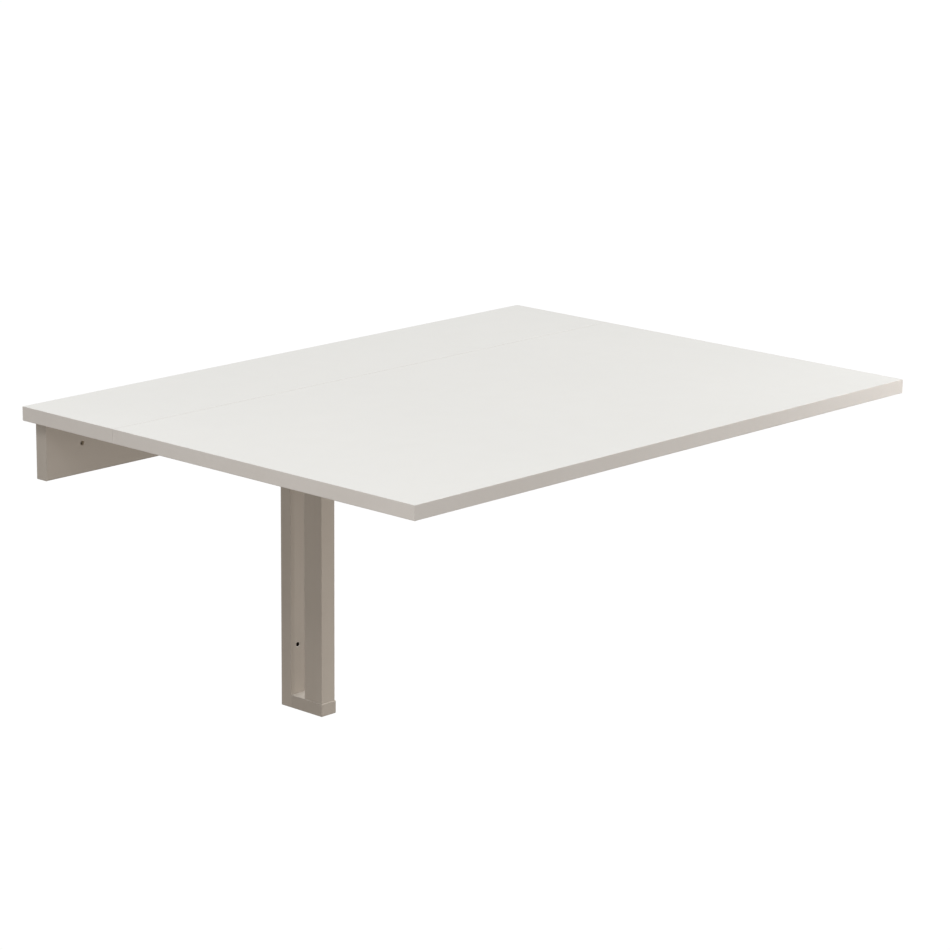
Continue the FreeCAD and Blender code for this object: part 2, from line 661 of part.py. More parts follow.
def make_shoe():
    """The shoe that slides in the leg's slot and carries the feet of the struts."""
    low = ("-shoe_half", "slot_middle - shoe_core_half", "shoe_bottom")
    block = board(low, ("2 * shoe_half", "2 * shoe_core_half", "shoe_height"),
                  {(-1, -1, 0), (1, -1, 0), (-1, 1, 0), (1, 1, 0)})
    bore = rod("pivot_radius + fit_gap", "2 * shoe_half", ("-shoe_half", "slot_middle", "shoe_z"), "X")
    node(cut(block, [bore]), "shoe_block")
    spans = ("2 * (shoe_half - liner_margin)", "liner_thick", "shoe_height - 2 * liner_margin")
    liners = [
        box(("-shoe_half + liner_margin", start, "shoe_bottom + liner_margin"), spans)
        for start in ("slot_middle - shoe_core_half - liner_thick", "slot_middle + shoe_core_half")
    ]
    node(group(liners), "shoe_liners")
    node(rod("pivot_radius", "2 * ear_outer", ("-ear_outer", "slot_middle", "shoe_z"), "X"), "shoe_axle")
    hole, thick = "pivot_radius + fit_gap", "ear_outer - shoe_half"
    washers = [
        ring("washer_radius", hole, thick, (start, "slot_middle", "shoe_z"))
        for start in ("-ear_outer", "shoe_half")
    ]
    node(group(washers), "shoe_washers")
    wide, deep = "shoe_half - buffer_margin", "shoe_core_half - buffer_margin"
    low = (f"-({wide})", f"slot_middle - ({deep})", "shoe_bottom - buffer_thick")
    node(box(low, (f"2 * ({wide})", f"2 * ({deep})", "buffer_thick")), "shoe_buffer")


# ---------------------------------------------------------------- build, check and write


def check_all():
    """Stop if any object failed, or if a sub-part isn't a sound shape."""
    for thing in doc.Objects:
        if "Invalid" in thing.State or "Error" in thing.State:
            raise RuntimeError(f"{thing.Name} ({thing.Label}) failed")
    for thing in parts:
        if thing.Shape.isNull() or not thing.Shape.isValid() or not thing.Shape.Solids:
            raise RuntimeError(f"{thing.Label} isn't a sound shape")
    if len({thing.Label for thing in parts}) != len(parts):
        raise RuntimeError("two sub-parts share a name")


fill_sheet()
make_shelf()
make_batten()
make_angles()
make_leg()
make_leaf()
make_hinges()
make_strut_bracket()
make_struts()
make_shoe()
doc.recompute()
check_all()
os.makedirs("parts", exist_ok=True)
for part in parts:
    part.Shape.exportStep(f"parts/{part.Label}.step")
print(f"{len(parts)} sub-parts written")
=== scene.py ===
"""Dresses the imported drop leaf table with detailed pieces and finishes, soft light and a camera.

Meshes are drawn in millimetres and turned to metres when they are finished. The axes are those of
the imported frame: +X along the wall, +Y into the wall, +Z up, and the origin on the wall at the
height of the batten's screws.
"""

import itertools
import logging
import math
from collections.abc import Callable, Iterable, Sequence
from dataclasses import dataclass, replace
from enum import Enum

import bmesh
import bpy
from mathutils import Matrix, Vector

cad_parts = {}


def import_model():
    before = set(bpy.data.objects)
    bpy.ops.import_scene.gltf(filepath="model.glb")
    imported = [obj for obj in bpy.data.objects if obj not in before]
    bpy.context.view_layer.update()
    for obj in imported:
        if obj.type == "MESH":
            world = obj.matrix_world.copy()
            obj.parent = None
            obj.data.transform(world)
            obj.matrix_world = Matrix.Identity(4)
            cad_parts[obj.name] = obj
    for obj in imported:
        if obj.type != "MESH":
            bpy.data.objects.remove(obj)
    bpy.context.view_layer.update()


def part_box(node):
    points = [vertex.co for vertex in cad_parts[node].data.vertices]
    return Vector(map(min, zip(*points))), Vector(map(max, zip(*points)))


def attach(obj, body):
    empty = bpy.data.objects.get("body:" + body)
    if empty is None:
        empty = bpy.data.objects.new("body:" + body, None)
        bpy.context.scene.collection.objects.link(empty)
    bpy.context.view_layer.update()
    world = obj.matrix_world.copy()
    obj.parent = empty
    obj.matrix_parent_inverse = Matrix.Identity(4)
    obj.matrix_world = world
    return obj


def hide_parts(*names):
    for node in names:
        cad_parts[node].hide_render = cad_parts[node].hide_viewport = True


Point = tuple[float, float, float]
Spot = tuple[float, float]
Colour = tuple[float, float, float]
Side = tuple[int, int, int]
Ripple = Callable[[float, float, float], float]
Pick = Callable[[Vector, Vector], bool]

LOG = logging.getLogger("drop_leaf_table")
METRES = 0.001
SHARP = math.radians(32)  # edges that turn by more than this are shaded hard, and are rounded
WELD = 1e-4  # vertices closer than this are one after a cut
OVERSHOOT = 0.5  # how far a tool reaches out of what it cuts
FIT = 0.05  # the play round a screw, a pin or a dowel
NEAR = 0.1  # what lies closer to a place than this counts as being there
ALONG = 0.9  # the share of a direction on the axis that it runs along, at least
ACROSS = 0.1  # the share of a direction on an axis that it runs across, at most
SHY = 0.01  # how much less than half the width the radius of a fully round end is
BORE_STEPS = 32
RING_STEPS = 48
DOME_STEPS = 8
ENDS = (-1, 1)
SIDES = (("left", -1), ("right", 1))
# Takes a shape's X, Y and Z to Y, Z and X.
UPRIGHT = Matrix(((0, 0, 1, 0), (1, 0, 0, 0), (0, 1, 0, 0), (0, 0, 0, 1)))


class Body(Enum):
    """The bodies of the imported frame."""

    FRAME = "wall_frame"
    LEAF = "drop_leaf"
    STRUTS = "support_struts"
    SHOE = "slide_shoe"


class Slot(Enum):
    """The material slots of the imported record."""

    FOIL = "board_foil"
    BAND = "edge_band"
    LEG = "leg_paint"
    BEECH = "dowel_beech"
    ZINC = "zinc_steel"
    SCREW = "screw_steel"
    STRUT = "strut_paint"
    NYLON = "shoe_nylon"
    WASHER = "washer_nylon"
    RUBBER = "liner_rubber"


class Zone(Enum):
    """The parts of a piece's surface that may have their own finish."""

    OUTSIDE = 0
    INSIDE = 1
    RIM = 2


class Way(Enum):
    """The axis that a shape drawn up +Z is turned to."""

    X = (math.pi / 2, "Y")
    BACK_X = (-math.pi / 2, "Y")
    Y = (-math.pi / 2, "X")
    Z = (0.0, "Z")

    def at(self, *place: float) -> Matrix:
        """The matrix that takes a shape to a place and turns it to this axis."""
        angle, axis = self.value
        return Matrix.Translation(place) @ Matrix.Rotation(angle, 4, axis)

    def grid(self, *lists: Sequence[float]) -> list[Matrix]:
        """The matrices for all places whose X, Y and Z are in three lists."""
        return [self.at(*place) for place in itertools.product(*lists)]


# ---------------------------------------------------------------- mesh code


def in_scene(name: str, data: bpy.types.ID) -> bpy.types.Object:
    """A new object that is linked to the scene.

    Args:
        name: Its name.
        data: The mesh, light or camera in it.

    Returns:
        The object.
    """
    made = bpy.data.objects.new(name, data)
    bpy.context.scene.collection.objects.link(made)
    return made


class Solid:
    """A closed mesh in the making. Each face has the number of its Zone as material."""

    def __init__(self) -> None:
        """Starts with nothing in it."""
        self.bm = bmesh.new()

    @classmethod
    def block(cls, low: Sequence[float], high: Sequence[float]) -> "Solid":
        """A box between two corners.

        Args:
            low: The corner with the lowest values.
            high: The one with the highest.

        Returns:
            The box.
        """
        made = cls()
        middle = Matrix.Translation((Vector(high) + Vector(low)) / 2)
        spans = Matrix.Diagonal((*(Vector(high) - Vector(low)), 1))
        bmesh.ops.create_cube(made.bm, size=1, matrix=middle @ spans)
        return made

    @classmethod
    def of_node(cls, node: str, side: Side = (0, 0, 0), reach: float = 0.0) -> "Solid":
        """A box as large as a node of the frame, and larger by a reach on one side.

        Args:
            node: The node.
            side: The side that it is larger on, in X, Y and Z.
            reach: How much larger it is there.

        Returns:
            The box.
        """
        low, high = (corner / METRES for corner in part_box(node))
        for axis, way in enumerate(side):
            if way:
                (high if way > 0 else low)[axis] += way * reach
        return cls.block(low, high)

    @classmethod
    def turned(cls, profile: Sequence[Spot], steps: int = 40,
               ripple: Ripple | None = None) -> "Solid":
        """A shape turned about Z.

        Args:
            profile: Radius and height of each ring. If it starts off the axis, it closes on itself.
            steps: Points in a ring.
            ripple: Gives a new radius from an angle, a height and a radius.

        Returns:
            The turned shape.
        """
        made, rings = cls(), []
        for radius, height in profile:
            ring = []
            for step in range(steps if radius else 1):
                angle = 2 * math.pi * step / steps
                reach = ripple(angle, height, radius) if ripple and radius else radius
                spot = (reach * math.cos(angle), reach * math.sin(angle), height)
                ring.append(made.bm.verts.new(spot))
            rings.append(ring)
        pairs = list(zip(rings, rings[1:]))
        if len(rings[0]) > 1:
            pairs.append((rings[-1], rings[0]))
        for first, second in pairs:
            made.skin(first, second)
        return made

    @classmethod
    def prism(cls, outline: Sequence[Spot], low: float, high: float) -> "Solid":
        """An outline in X and Y raised from one height to another.

        Args:
            outline: Its points.
            low: Where it starts.
            high: Where it ends.

        Returns:
            The prism.
        """
        made = cls()
        rings = [[made.bm.verts.new((x, y, z)) for x, y in outline] for z in (low, high)]
        for ring in rings:
            made.bm.faces.new(ring)
        made.skin(*rings)
        return made

    @classmethod
    def along(cls, outline: Sequence[Spot], start: float, end: float) -> "Solid":
        """An outline in Y and Z drawn out along X."""
        return cls.prism(outline, start, end).moved(UPRIGHT)

    def skin(self, first: list, second: list) -> None:
        """Joins two rings with faces. A ring of one vertex is a tip.

        Args:
            first: The vertices of one ring.
            second: The vertices of the other.
        """
        count = max(len(first), len(second))
        for step in range(count):
            after = (step + 1) % count
            corners = [first[step % len(first)], first[after % len(first)],
                       second[after % len(second)], second[step % len(second)]]
            self.bm.faces.new(list(dict.fromkeys(corners)))

    def add(self, other: "Solid", placed: Matrix | None = None) -> "Solid":
        """Puts a copy of another shape into this one, moved by a matrix.

        Args:
            other: The shape to copy.
            placed: The matrix. The copy stays in place without it.

        Returns:
            This shape.
        """
        mesh = other.mesh("copy")
        mesh.transform(placed or Matrix())
        self.bm.from_mesh(mesh)
        bpy.data.meshes.remove(mesh)
        return self

    def copies(self, places: Iterable[Matrix]) -> "Solid":
        """A shape made of copies of this one at several places.

        Args:
            places: A matrix for each copy.

        Returns:
            The new shape.
        """
        made = Solid()
        for placed in places:
            made.add(self, placed)
        return made

    def zoned(self, zone: Zone, pick: Callable[[Vector], bool] | None = None) -> "Solid":
        """Puts faces into a zone: all of them, or those that a test of their normal picks.

        Args:
            zone: The zone.
            pick: The test. All faces are meant without it.

        Returns:
            This shape.
        """
        for face in self.bm.faces:
            face.normal_update()
            if pick is None or pick(face.normal):
                face.material_index = zone.value
        return self

    def moved(self, placed: Matrix) -> "Solid":
        """Moves this shape by a matrix."""
        bmesh.ops.transform(self.bm, matrix=placed, verts=self.bm.verts)
        return self

    def soften(self, radius: float, steps: int = 2, pick: Pick | None = None) -> "Solid":
        """Rounds sharp edges.

        Args:
            radius: How far the rounding reaches.
            steps: Facets in it.
            pick: Says from an edge's middle and direction if it is rounded. All are without it.

        Returns:
            This shape.
        """
        edges = []
        for edge in self.bm.edges:
            first, second = (corner.co for corner in edge.verts)
            if edge.calc_face_angle(0) < SHARP:
                continue
            if pick is None or pick((first + second) / 2, (second - first).normalized()):
                edges.append(edge)
        bmesh.ops.bevel(self.bm, geom=edges, offset=radius, offset_type="OFFSET", segments=steps,
                        profile=0.5, affect="EDGES", clamp_overlap=True)
        return self

    def soften_at(self, sides: set[Side], radius: float, steps: int) -> "Solid":
        """Rounds the edges whose middles lie on the given sides: -1 low, 0 middle, 1 high.

        Args:
            sides: The sides, as a step along each axis.
            radius: How far the rounding reaches.
            steps: Facets in it.

        Returns:
            This shape.
        """
        spots = [corner.co.copy() for corner in self.bm.verts]
        low = [min(spot[axis] for spot in spots) for axis in range(3)]
        high = [max(spot[axis] for spot in spots) for axis in range(3)]

        def chosen(middle: Vector, _: Vector) -> bool:
            """If an edge lies on a wanted side."""
            shares = [(middle[a] - low[a]) / (high[a] - low[a]) for a in range(3)]
            return tuple(round(2 * share) - 1 for share in shares) in sides

        return self.soften(radius, steps, chosen)

    def mesh(self, name: str) -> bpy.types.Mesh:
        """This shape as a mesh with its faces turned outwards.

        Args:
            name: The mesh's name.

        Returns:
            The mesh, with an empty material for each zone.
        """
        bmesh.ops.recalc_face_normals(self.bm, faces=self.bm.faces)
        made = bpy.data.meshes.new(name)
        self.bm.to_mesh(made)
        for _ in Zone:
            made.materials.append(None)
        return made

    def combine(self, tools: Iterable["Solid"], operation: str) -> "Solid":
        """Cuts other shapes away from this one, or fuses them with it.

        Args:
            tools: The other shapes. They don't run through each other.
            operation: DIFFERENCE or UNION.

        Returns:
            This shape.
        """
        together = Solid()
        for tool in tools:
            together.add(tool)
        blank, cutter = (in_scene("shape", shape.mesh("shape")) for shape in (self, together))
        boolean = blank.modifiers.new("shape", "BOOLEAN")
        boolean.operation, boolean.solver, boolean.object = operation, "EXACT", cutter
        graph = bpy.context.evaluated_depsgraph_get()
        result = bpy.data.meshes.new_from_object(blank.evaluated_get(graph))
        self.bm.clear()
        self.bm.from_mesh(result)
        bmesh.ops.remove_doubles(self.bm, verts=self.bm.verts, dist=WELD)
        bmesh.ops.dissolve_degenerate(self.bm, edges=self.bm.edges, dist=WELD)
        for mesh in (result, blank.data, cutter.data):
            bpy.data.meshes.remove(mesh)
        return self

    def cut(self, tools: Iterable["Solid"]) -> "Solid":
        """Cuts other shapes away from this one."""
        return self.combine(tools, "DIFFERENCE")

    def fuse(self, tools: Iterable["Solid"]) -> "Solid":
        """Fuses other shapes with this one."""
        return self.combine(tools, "UNION")

    def dress(self, node: str, body: Body, finish: "Finish", inside: "Finish | None" = None,
              rim: "Finish | None" = None) -> None:
        """Makes this shape the shown piece of one node.

        Args:
            node: The node of the frame that it stands for.
            body: The body that it moves with.
            finish: Its finish.
            inside: The finish of its inside zone, if another.
            rim: The finish of its rim zone, if another.
        """
        self.moved(Matrix.Scale(METRES, 4))
        for face in self.bm.faces:
            face.smooth = True
        for edge in self.bm.edges:
            edge.smooth = len(edge.link_faces) == 2 and edge.calc_face_angle(0) < SHARP
        mesh = self.mesh(f"{node}_detail")
        for index, worn in enumerate((finish, inside or finish, rim or finish)):
            mesh.materials[index] = worn.material()
        piece = in_scene(f"{node}_detail", mesh)
        piece.modifiers.new("even_shading", "WEIGHTED_NORMAL").keep_sharp = True
        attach(piece, body.value)
        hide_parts(node)
        LOG.info("%s: %d faces", piece.name, len(mesh.polygons))


def rounded(corners: Sequence[Point], steps: int = 6) -> list[Spot]:
    """An outline whose corners are each rounded by their own radius.

    Args:
        corners: X, Y and radius of each corner.
        steps: Facets in a rounded corner.

    Returns:
        The outline's points.
    """
    points = []
    for index, (x, y, radius) in enumerate(corners):
        if radius == 0:
            points.append((x, y))
            continue
        spot = Vector((x, y))
        before = (Vector(corners[index - 1][:2]) - spot).normalized()
        after = (Vector(corners[(index + 1) % len(corners)][:2]) - spot).normalized()
        half = before.angle(after) / 2
        centre = spot + (before + after).normalized() * (radius / math.sin(half))
        arms = [spot + way * (radius / math.tan(half)) - centre for way in (before, after)]
        start, end = (math.atan2(arm.y, arm.x) for arm in arms)
        sweep = (end - start + math.pi) % (2 * math.pi) - math.pi
        for step in range(steps + 1):
            angle = start + sweep * step / steps
            points.append((centre.x + radius * math.cos(angle),
                           centre.y + radius * math.sin(angle)))
    return points


def tablet(low: Spot, high: Spot, radius: float, steps: int = 6) -> list[Spot]:
    """The outline of a rectangle with all corners rounded by one radius.

    Args:
        low: Its lower left corner.
        high: Its upper right corner.
        radius: The radius of its corners.
        steps: Facets in a corner.

    Returns:
        The outline's points.
    """
    (left, bottom), (right, top) = low, high
    spots = ((left, bottom), (right, bottom), (right, top), (left, top))
    return rounded([(x, y, radius) for x, y in spots], steps)


def bore(radius: float, length: float, placed: Matrix, sink: float = 0) -> Solid:
    """The space of a round hole, as a tool to cut with.

    Args:
        radius: The hole's radius.
        length: Its length.
        placed: The matrix that takes it from the origin, where it runs up +Z, to its place.
        sink: The radius of its countersink at the start, or 0 for none.

    Returns:
        The tool. The hole's wall is an inside zone, and its countersink a rim zone.
    """
    profile, depth = [(0, -OVERSHOOT), (radius, -OVERSHOOT)], 0
    if sink:
        depth = sink - radius
        profile[1:] = [(sink + OVERSHOOT, -OVERSHOOT), (radius, depth)]
    made = Solid.turned(profile + [(radius, length), (0, length)], BORE_STEPS)
    for face in made.bm.faces:
        deep = face.calc_center_median().z > depth
        face.material_index = (Zone.INSIDE if deep else Zone.RIM).value
    return made.moved(placed)


# ---------------------------------------------------------------- shared effects


class Effect(Enum):
    """The effects that finishes share: name, inputs and output of each one's node group."""

    DRIFT = ("tone_drift", ("Colour", "Shade", "Scale", "Amount"), "Colour")
    PEEL = ("fine_peel", ("Scale",), "Height")
    RUB = ("edge_rub", ("Radius", "Amount"), "Mask")
    DUST_AND_HIGHLIGHT = ("settled_dust", ("Scale", "Amount"), "Mask")
    GRAIN = ("grain_lines", ("Scale", "Stretch"), "Lines")
    SMUDGE = ("surface_smudge", ("Scale", "Low", "High"), "Roughness")


class Tree:
    """Adds nodes to a node tree and joins them."""

    def __init__(self, tree: bpy.types.NodeTree) -> None:
        """Takes the tree to work on."""
        self.tree = tree

    @classmethod
    def of(cls, owner: bpy.types.Material | bpy.types.World) -> "Tree":
        """The emptied tree of a material or a world.

        Args:
            owner: The material or world.

        Returns:
            Its tree.
        """
        owner.use_nodes = True
        owner.node_tree.nodes.clear()
        return cls(owner.node_tree)

    def node(self, kind: str, inputs: dict | None = None, **settings: object) -> bpy.types.Node:
        """Adds a node.

        Args:
            kind: The node's type.
            inputs: A value for each input, by name or number. A socket is linked.
            settings: The node's own settings.

        Returns:
            The new node.
        """
        made = self.tree.nodes.new(kind)
        for name, value in settings.items():
            setattr(made, name, value)
        for name, value in (inputs or {}).items():
            if isinstance(value, bpy.types.NodeSocket):
                self.tree.links.new(value, made.inputs[name])
            else:
                made.inputs[name].default_value = value
        return made

    def math(self, operation: str, *values: object) -> bpy.types.NodeSocket:
        """The result of a sum of numbers or sockets."""
        return self.node("ShaderNodeMath", dict(enumerate(values)), operation=operation).outputs[0]

    def blend(self, share: object, first: object, second: object) -> bpy.types.NodeSocket:
        """A colour between two, by a share."""
        inputs = {0: share, 6: first, 7: second}
        return self.node("ShaderNodeMix", inputs, data_type="RGBA").outputs[2]

    def spread(self, value: object, low: float, high: float) -> bpy.types.NodeSocket:
        """A value stretched so that it goes from 0 at one number to 1 at another."""
        return self.node("ShaderNodeMapRange", {0: value, 1: low, 2: high}, clamp=True).outputs[0]

    def noise(self, scale: object, detail: float = 2,
              stretch: object = None) -> bpy.types.NodeSocket:
        """Noise in the piece's own space.

        Args:
            scale: Its scale, per metre.
            detail: How many finer layers it has.
            stretch: A factor for each axis.

        Returns:
            The noise as a number.
        """
        place = self.node("ShaderNodeTexCoord").outputs["Object"]
        if stretch is not None:
            inputs = {0: place, 1: stretch}
            place = self.node("ShaderNodeVectorMath", inputs, operation="MULTIPLY").outputs[0]
        inputs = {"Vector": place, "Scale": scale, "Detail": detail}
        return self.node("ShaderNodeTexNoise", inputs).outputs[0]

    def bump(self, height: object, distance: float, **inputs: object) -> bpy.types.NodeSocket:
        """A normal with the relief of a height in it."""
        inputs.update(Height=height, Distance=distance, Strength=1.0)
        return self.node("ShaderNodeBump", inputs).outputs[0]

    def effect(self, kind: Effect, **inputs: object) -> bpy.types.NodeSocket:
        """The output of a shared effect that is placed here with its own values."""
        return self.node("ShaderNodeGroup", inputs, node_tree=EffectShelf.group(kind)).outputs[0]


class EffectShelf:
    """Builds the node groups of the shared effects."""

    SOCKETS = {"Colour": "NodeSocketColor", "Shade": "NodeSocketColor",
               "Stretch": "NodeSocketVector"}

    @classmethod
    def group(cls, kind: Effect) -> bpy.types.NodeTree:
        """The node group of an effect, built at its first use.

        Args:
            kind: The effect.

        Returns:
            Its node group.
        """
        name, inputs, output = kind.value
        found = bpy.data.node_groups.get(name)
        if found:
            return found
        made = bpy.data.node_groups.new(name, "ShaderNodeTree")
        for socket, way in [(socket, "INPUT") for socket in inputs] + [(output, "OUTPUT")]:
            made.interface.new_socket(
                socket, in_out=way, socket_type=cls.SOCKETS.get(socket, "NodeSocketFloat"))
        tree = Tree(made)
        result = getattr(cls, name)(tree, tree.node("NodeGroupInput").outputs)
        tree.node("NodeGroupOutput", {output: result})
        return made

    @staticmethod
    def tone_drift(tree: Tree, given: bpy.types.NodeOutputs) -> bpy.types.NodeSocket:
        """A colour that drifts slowly towards another, with a finer mottle in it.

        Args:
            tree: The group's own tree.
            given: What comes in through its inputs.

        Returns:
            The colour.
        """
        slow = tree.spread(tree.noise(given["Scale"], 2), 0.35, 0.65)
        fine = tree.noise(tree.math("MULTIPLY", given["Scale"], 9.0), 4)
        both = tree.math("MULTIPLY_ADD", fine, 0.5, tree.math("MULTIPLY", slow, 0.5))
        share = tree.math("MULTIPLY", both, given["Amount"])
        return tree.blend(share, given["Colour"], given["Shade"])

    @staticmethod
    def fine_peel(tree: Tree, given: bpy.types.NodeOutputs) -> bpy.types.NodeSocket:
        """The soft dimples of a sprayed or pressed surface.

        Args:
            tree: The group's own tree.
            given: What comes in through its inputs.

        Returns:
            The height.
        """
        broad = tree.noise(given["Scale"], 1)
        fine = tree.noise(tree.math("MULTIPLY", given["Scale"], 3.7), 2)
        return tree.math("MULTIPLY_ADD", fine, 0.35, broad)

    @staticmethod
    def edge_rub(tree: Tree, given: bpy.types.NodeOutputs) -> bpy.types.NodeSocket:
        """Where outer edges have been rubbed, broken up by noise.

        Args:
            tree: The group's own tree.
            given: What comes in through its inputs.

        Returns:
            The mask.
        """
        soft = tree.node("ShaderNodeBevel", {"Radius": given["Radius"]}, samples=4).outputs[0]
        true = tree.node("ShaderNodeNewGeometry").outputs["True Normal"]
        alike = tree.node("ShaderNodeVectorMath", {0: soft, 1: true}, operation="DOT_PRODUCT")
        turned = tree.math("SUBTRACT", 1.0, alike.outputs["Value"])
        patches = tree.spread(tree.noise(140.0, 3), 0.4, 0.62)
        edge = tree.math("MULTIPLY", tree.spread(turned, 0.02, 0.2), patches)
        return tree.math("MULTIPLY", edge, given["Amount"])

    @staticmethod
    def settled_dust(tree: Tree, given: bpy.types.NodeOutputs) -> bpy.types.NodeSocket:
        """A thin dusting on what faces up, and where the amount is large a painted highlight on
        faces that look up.

        Args:
            tree: The group's own tree.
            given: What comes in through its inputs.

        Returns:
            The mask.
        """
        facing = tree.node("ShaderNodeTexCoord").outputs["Normal"]
        rise = tree.node("ShaderNodeSeparateXYZ", {0: facing}).outputs["Z"]
        dust_and_highlight_veil = tree.spread(tree.noise(given["Scale"], 6), 0.38, 0.7)
        dust_and_highlight = tree.math("MULTIPLY", tree.spread(rise, 0.3, 1.0), dust_and_highlight_veil)
        return tree.math("MULTIPLY", dust_and_highlight, given["Amount"])

    @staticmethod
    def grain_lines(tree: Tree, given: bpy.types.NodeOutputs) -> bpy.types.NodeSocket:
        """Long lines, as of wood grain or brushing, where the stretch is small along them.

        Args:
            tree: The group's own tree.
            given: What comes in through its inputs.

        Returns:
            The lines as a number.
        """
        broad = tree.noise(given["Scale"], 3, given["Stretch"])
        fine = tree.noise(tree.math("MULTIPLY", given["Scale"], 5.0), 2, given["Stretch"])
        return tree.spread(tree.math("MULTIPLY_ADD", fine, 0.4, broad), 0.45, 0.95)

    @staticmethod
    def surface_smudge(tree: Tree, given: bpy.types.NodeOutputs) -> bpy.types.NodeSocket:
        """A roughness that wanders between two values, as where hands and cloths have been.

        Args:
            tree: The group's own tree.
            given: What comes in through its inputs.

        Returns:
            The roughness.
        """
        share = tree.spread(tree.noise(given["Scale"], 5), 0.35, 0.7)
        span = tree.math("SUBTRACT", given["High"], given["Low"])
        return tree.math("MULTIPLY_ADD", share, span, given["Low"])


# ---------------------------------------------------------------- finishes


@dataclass(frozen=True)
class Finish:
    """A finish whose colour, gloss and surface all vary a little."""

    name: str
    slot: Slot
    colour: Colour
    shade: Colour
    drift_scale: float = 6.0
    drift: float = 0.6
    smooth: float = 0.42
    rough: float = 0.55
    smudge_scale: float = 14.0
    peel_scale: float = 800.0
    peel_depth: float = 0.00002
    grain_scale: float = 60.0
    grain_stretch: Point = (1.0, 1.0, 0.03)
    grain_depth: float = 0.0
    grain_shade: float = 0.0
    rub_radius: float = 0.0008
    rub: float = 0.3
    rub_colour: Colour = (0.75, 0.73, 0.69)
    # What is laid on up-facing faces: a thin dusting, and where the amount is large a painted
    # highlight.
    dust_and_highlight: float = 0.05
    dust_and_highlight_scale: float = 35.0
    dust_and_highlight_colour: Colour = (0.62, 0.6, 0.56)
    ior: float = 1.5
    metal: float = 0.0
    milky: float = 0.0
    milky_depth: float = 0.002

    def material(self) -> bpy.types.Material:
        """The material of this finish, built at its first use.

        Returns:
            The material.
        """
        found = bpy.data.materials.get(self.name)
        if found:
            return found
        made = bpy.data.materials.new(self.name)
        tree = Tree.of(made)
        shader = tree.node("ShaderNodeBsdfPrincipled", {
            "Base Color": self.mixed_colour(tree), "Roughness": self.mixed_gloss(tree),
            "Normal": self.mixed_surface(tree), "IOR": self.ior, "Metallic": self.metal,
            "Subsurface Weight": self.milky, "Subsurface Scale": self.milky_depth})
        tree.node("ShaderNodeOutputMaterial", {"Surface": shader.outputs[0]})
        return made

    def grain(self, tree: Tree) -> bpy.types.NodeSocket:
        """The lines of the finish's grain."""
        return tree.effect(Effect.GRAIN, Scale=self.grain_scale, Stretch=self.grain_stretch)

    def mixed_colour(self, tree: Tree) -> bpy.types.NodeSocket:
        """The finish's colour with its drift, grain, rubbed edges and dusting, where a large amount
        paints a highlight on up-facing faces.

        Args:
            tree: The material's tree.

        Returns:
            The colour.
        """
        colour = tree.effect(Effect.DRIFT, Colour=(*self.colour, 1), Shade=(*self.shade, 1),
                             Scale=self.drift_scale, Amount=self.drift)
        if self.grain_shade:
            share = tree.math("MULTIPLY", self.grain(tree), self.grain_shade)
            colour = tree.blend(share, colour, (*self.shade, 1))
        rubbed = tree.effect(Effect.RUB, Radius=self.rub_radius, Amount=self.rub)
        colour = tree.blend(rubbed, colour, (*self.rub_colour, 1))
        dust_and_highlight_veil = tree.effect(Effect.DUST_AND_HIGHLIGHT, Scale=self.dust_and_highlight_scale, Amount=self.dust_and_highlight)
        return tree.blend(dust_and_highlight_veil, colour, (*self.dust_and_highlight_colour, 1))

    def mixed_gloss(self, tree: Tree) -> bpy.types.NodeSocket:
        """The finish's roughness with its smudges."""
        return tree.effect(Effect.SMUDGE, Scale=self.smudge_scale, Low=self.smooth, High=self.rough)

    def mixed_surface(self, tree: Tree) -> bpy.types.NodeSocket:
        """The finish's fine relief.

        Args:
            tree: The material's tree.

        Returns:
            The normal.
        """
        peel = tree.bump(tree.effect(Effect.PEEL, Scale=self.peel_scale), self.peel_depth)
        if not self.grain_depth:
            return peel
        return tree.bump(self.grain(tree), self.grain_depth, Normal=peel)


@dataclass(frozen=True)
class ChipCore(Finish):
    """A drilled wall in a board that is pressed from wood chips."""

    chip_scale: float = 900.0
    chip_depth: float = 0.0003

    def chips(self, tree: Tree) -> bpy.types.NodeOutputs:
        """The pattern of the chips.

        Args:
            tree: The material's tree.

        Returns:
            Its distances and colours.
        """
        place = tree.node("ShaderNodeTexCoord").outputs["Object"]
        inputs = {"Vector": place, "Scale": self.chip_scale}
        return tree.node("ShaderNodeTexVoronoi", inputs).outputs

    def mixed_colour(self, tree: Tree) -> bpy.types.NodeSocket:
        """Chips of lighter and darker wood."""
        share = tree.node("ShaderNodeSeparateColor", {0: self.chips(tree)["Color"]}).outputs[0]
        return tree.blend(share, (*self.colour, 1), (*self.shade, 1))

    def mixed_surface(self, tree: Tree) -> bpy.types.NodeSocket:
        """Chips that stand proud of each other."""
        return tree.bump(self.chips(tree)["Distance"], self.chip_depth)


FOIL = Finish("board_foil_satin", Slot.FOIL, (0.775, 0.768, 0.74), (0.755, 0.745, 0.715),
              drift_scale=2.2, drift=0.5, smooth=0.4, rough=0.5, smudge_scale=5.0,
              peel_scale=700.0, peel_depth=0.000012, rub=0.2, dust_and_highlight=0.04, ior=1.46)
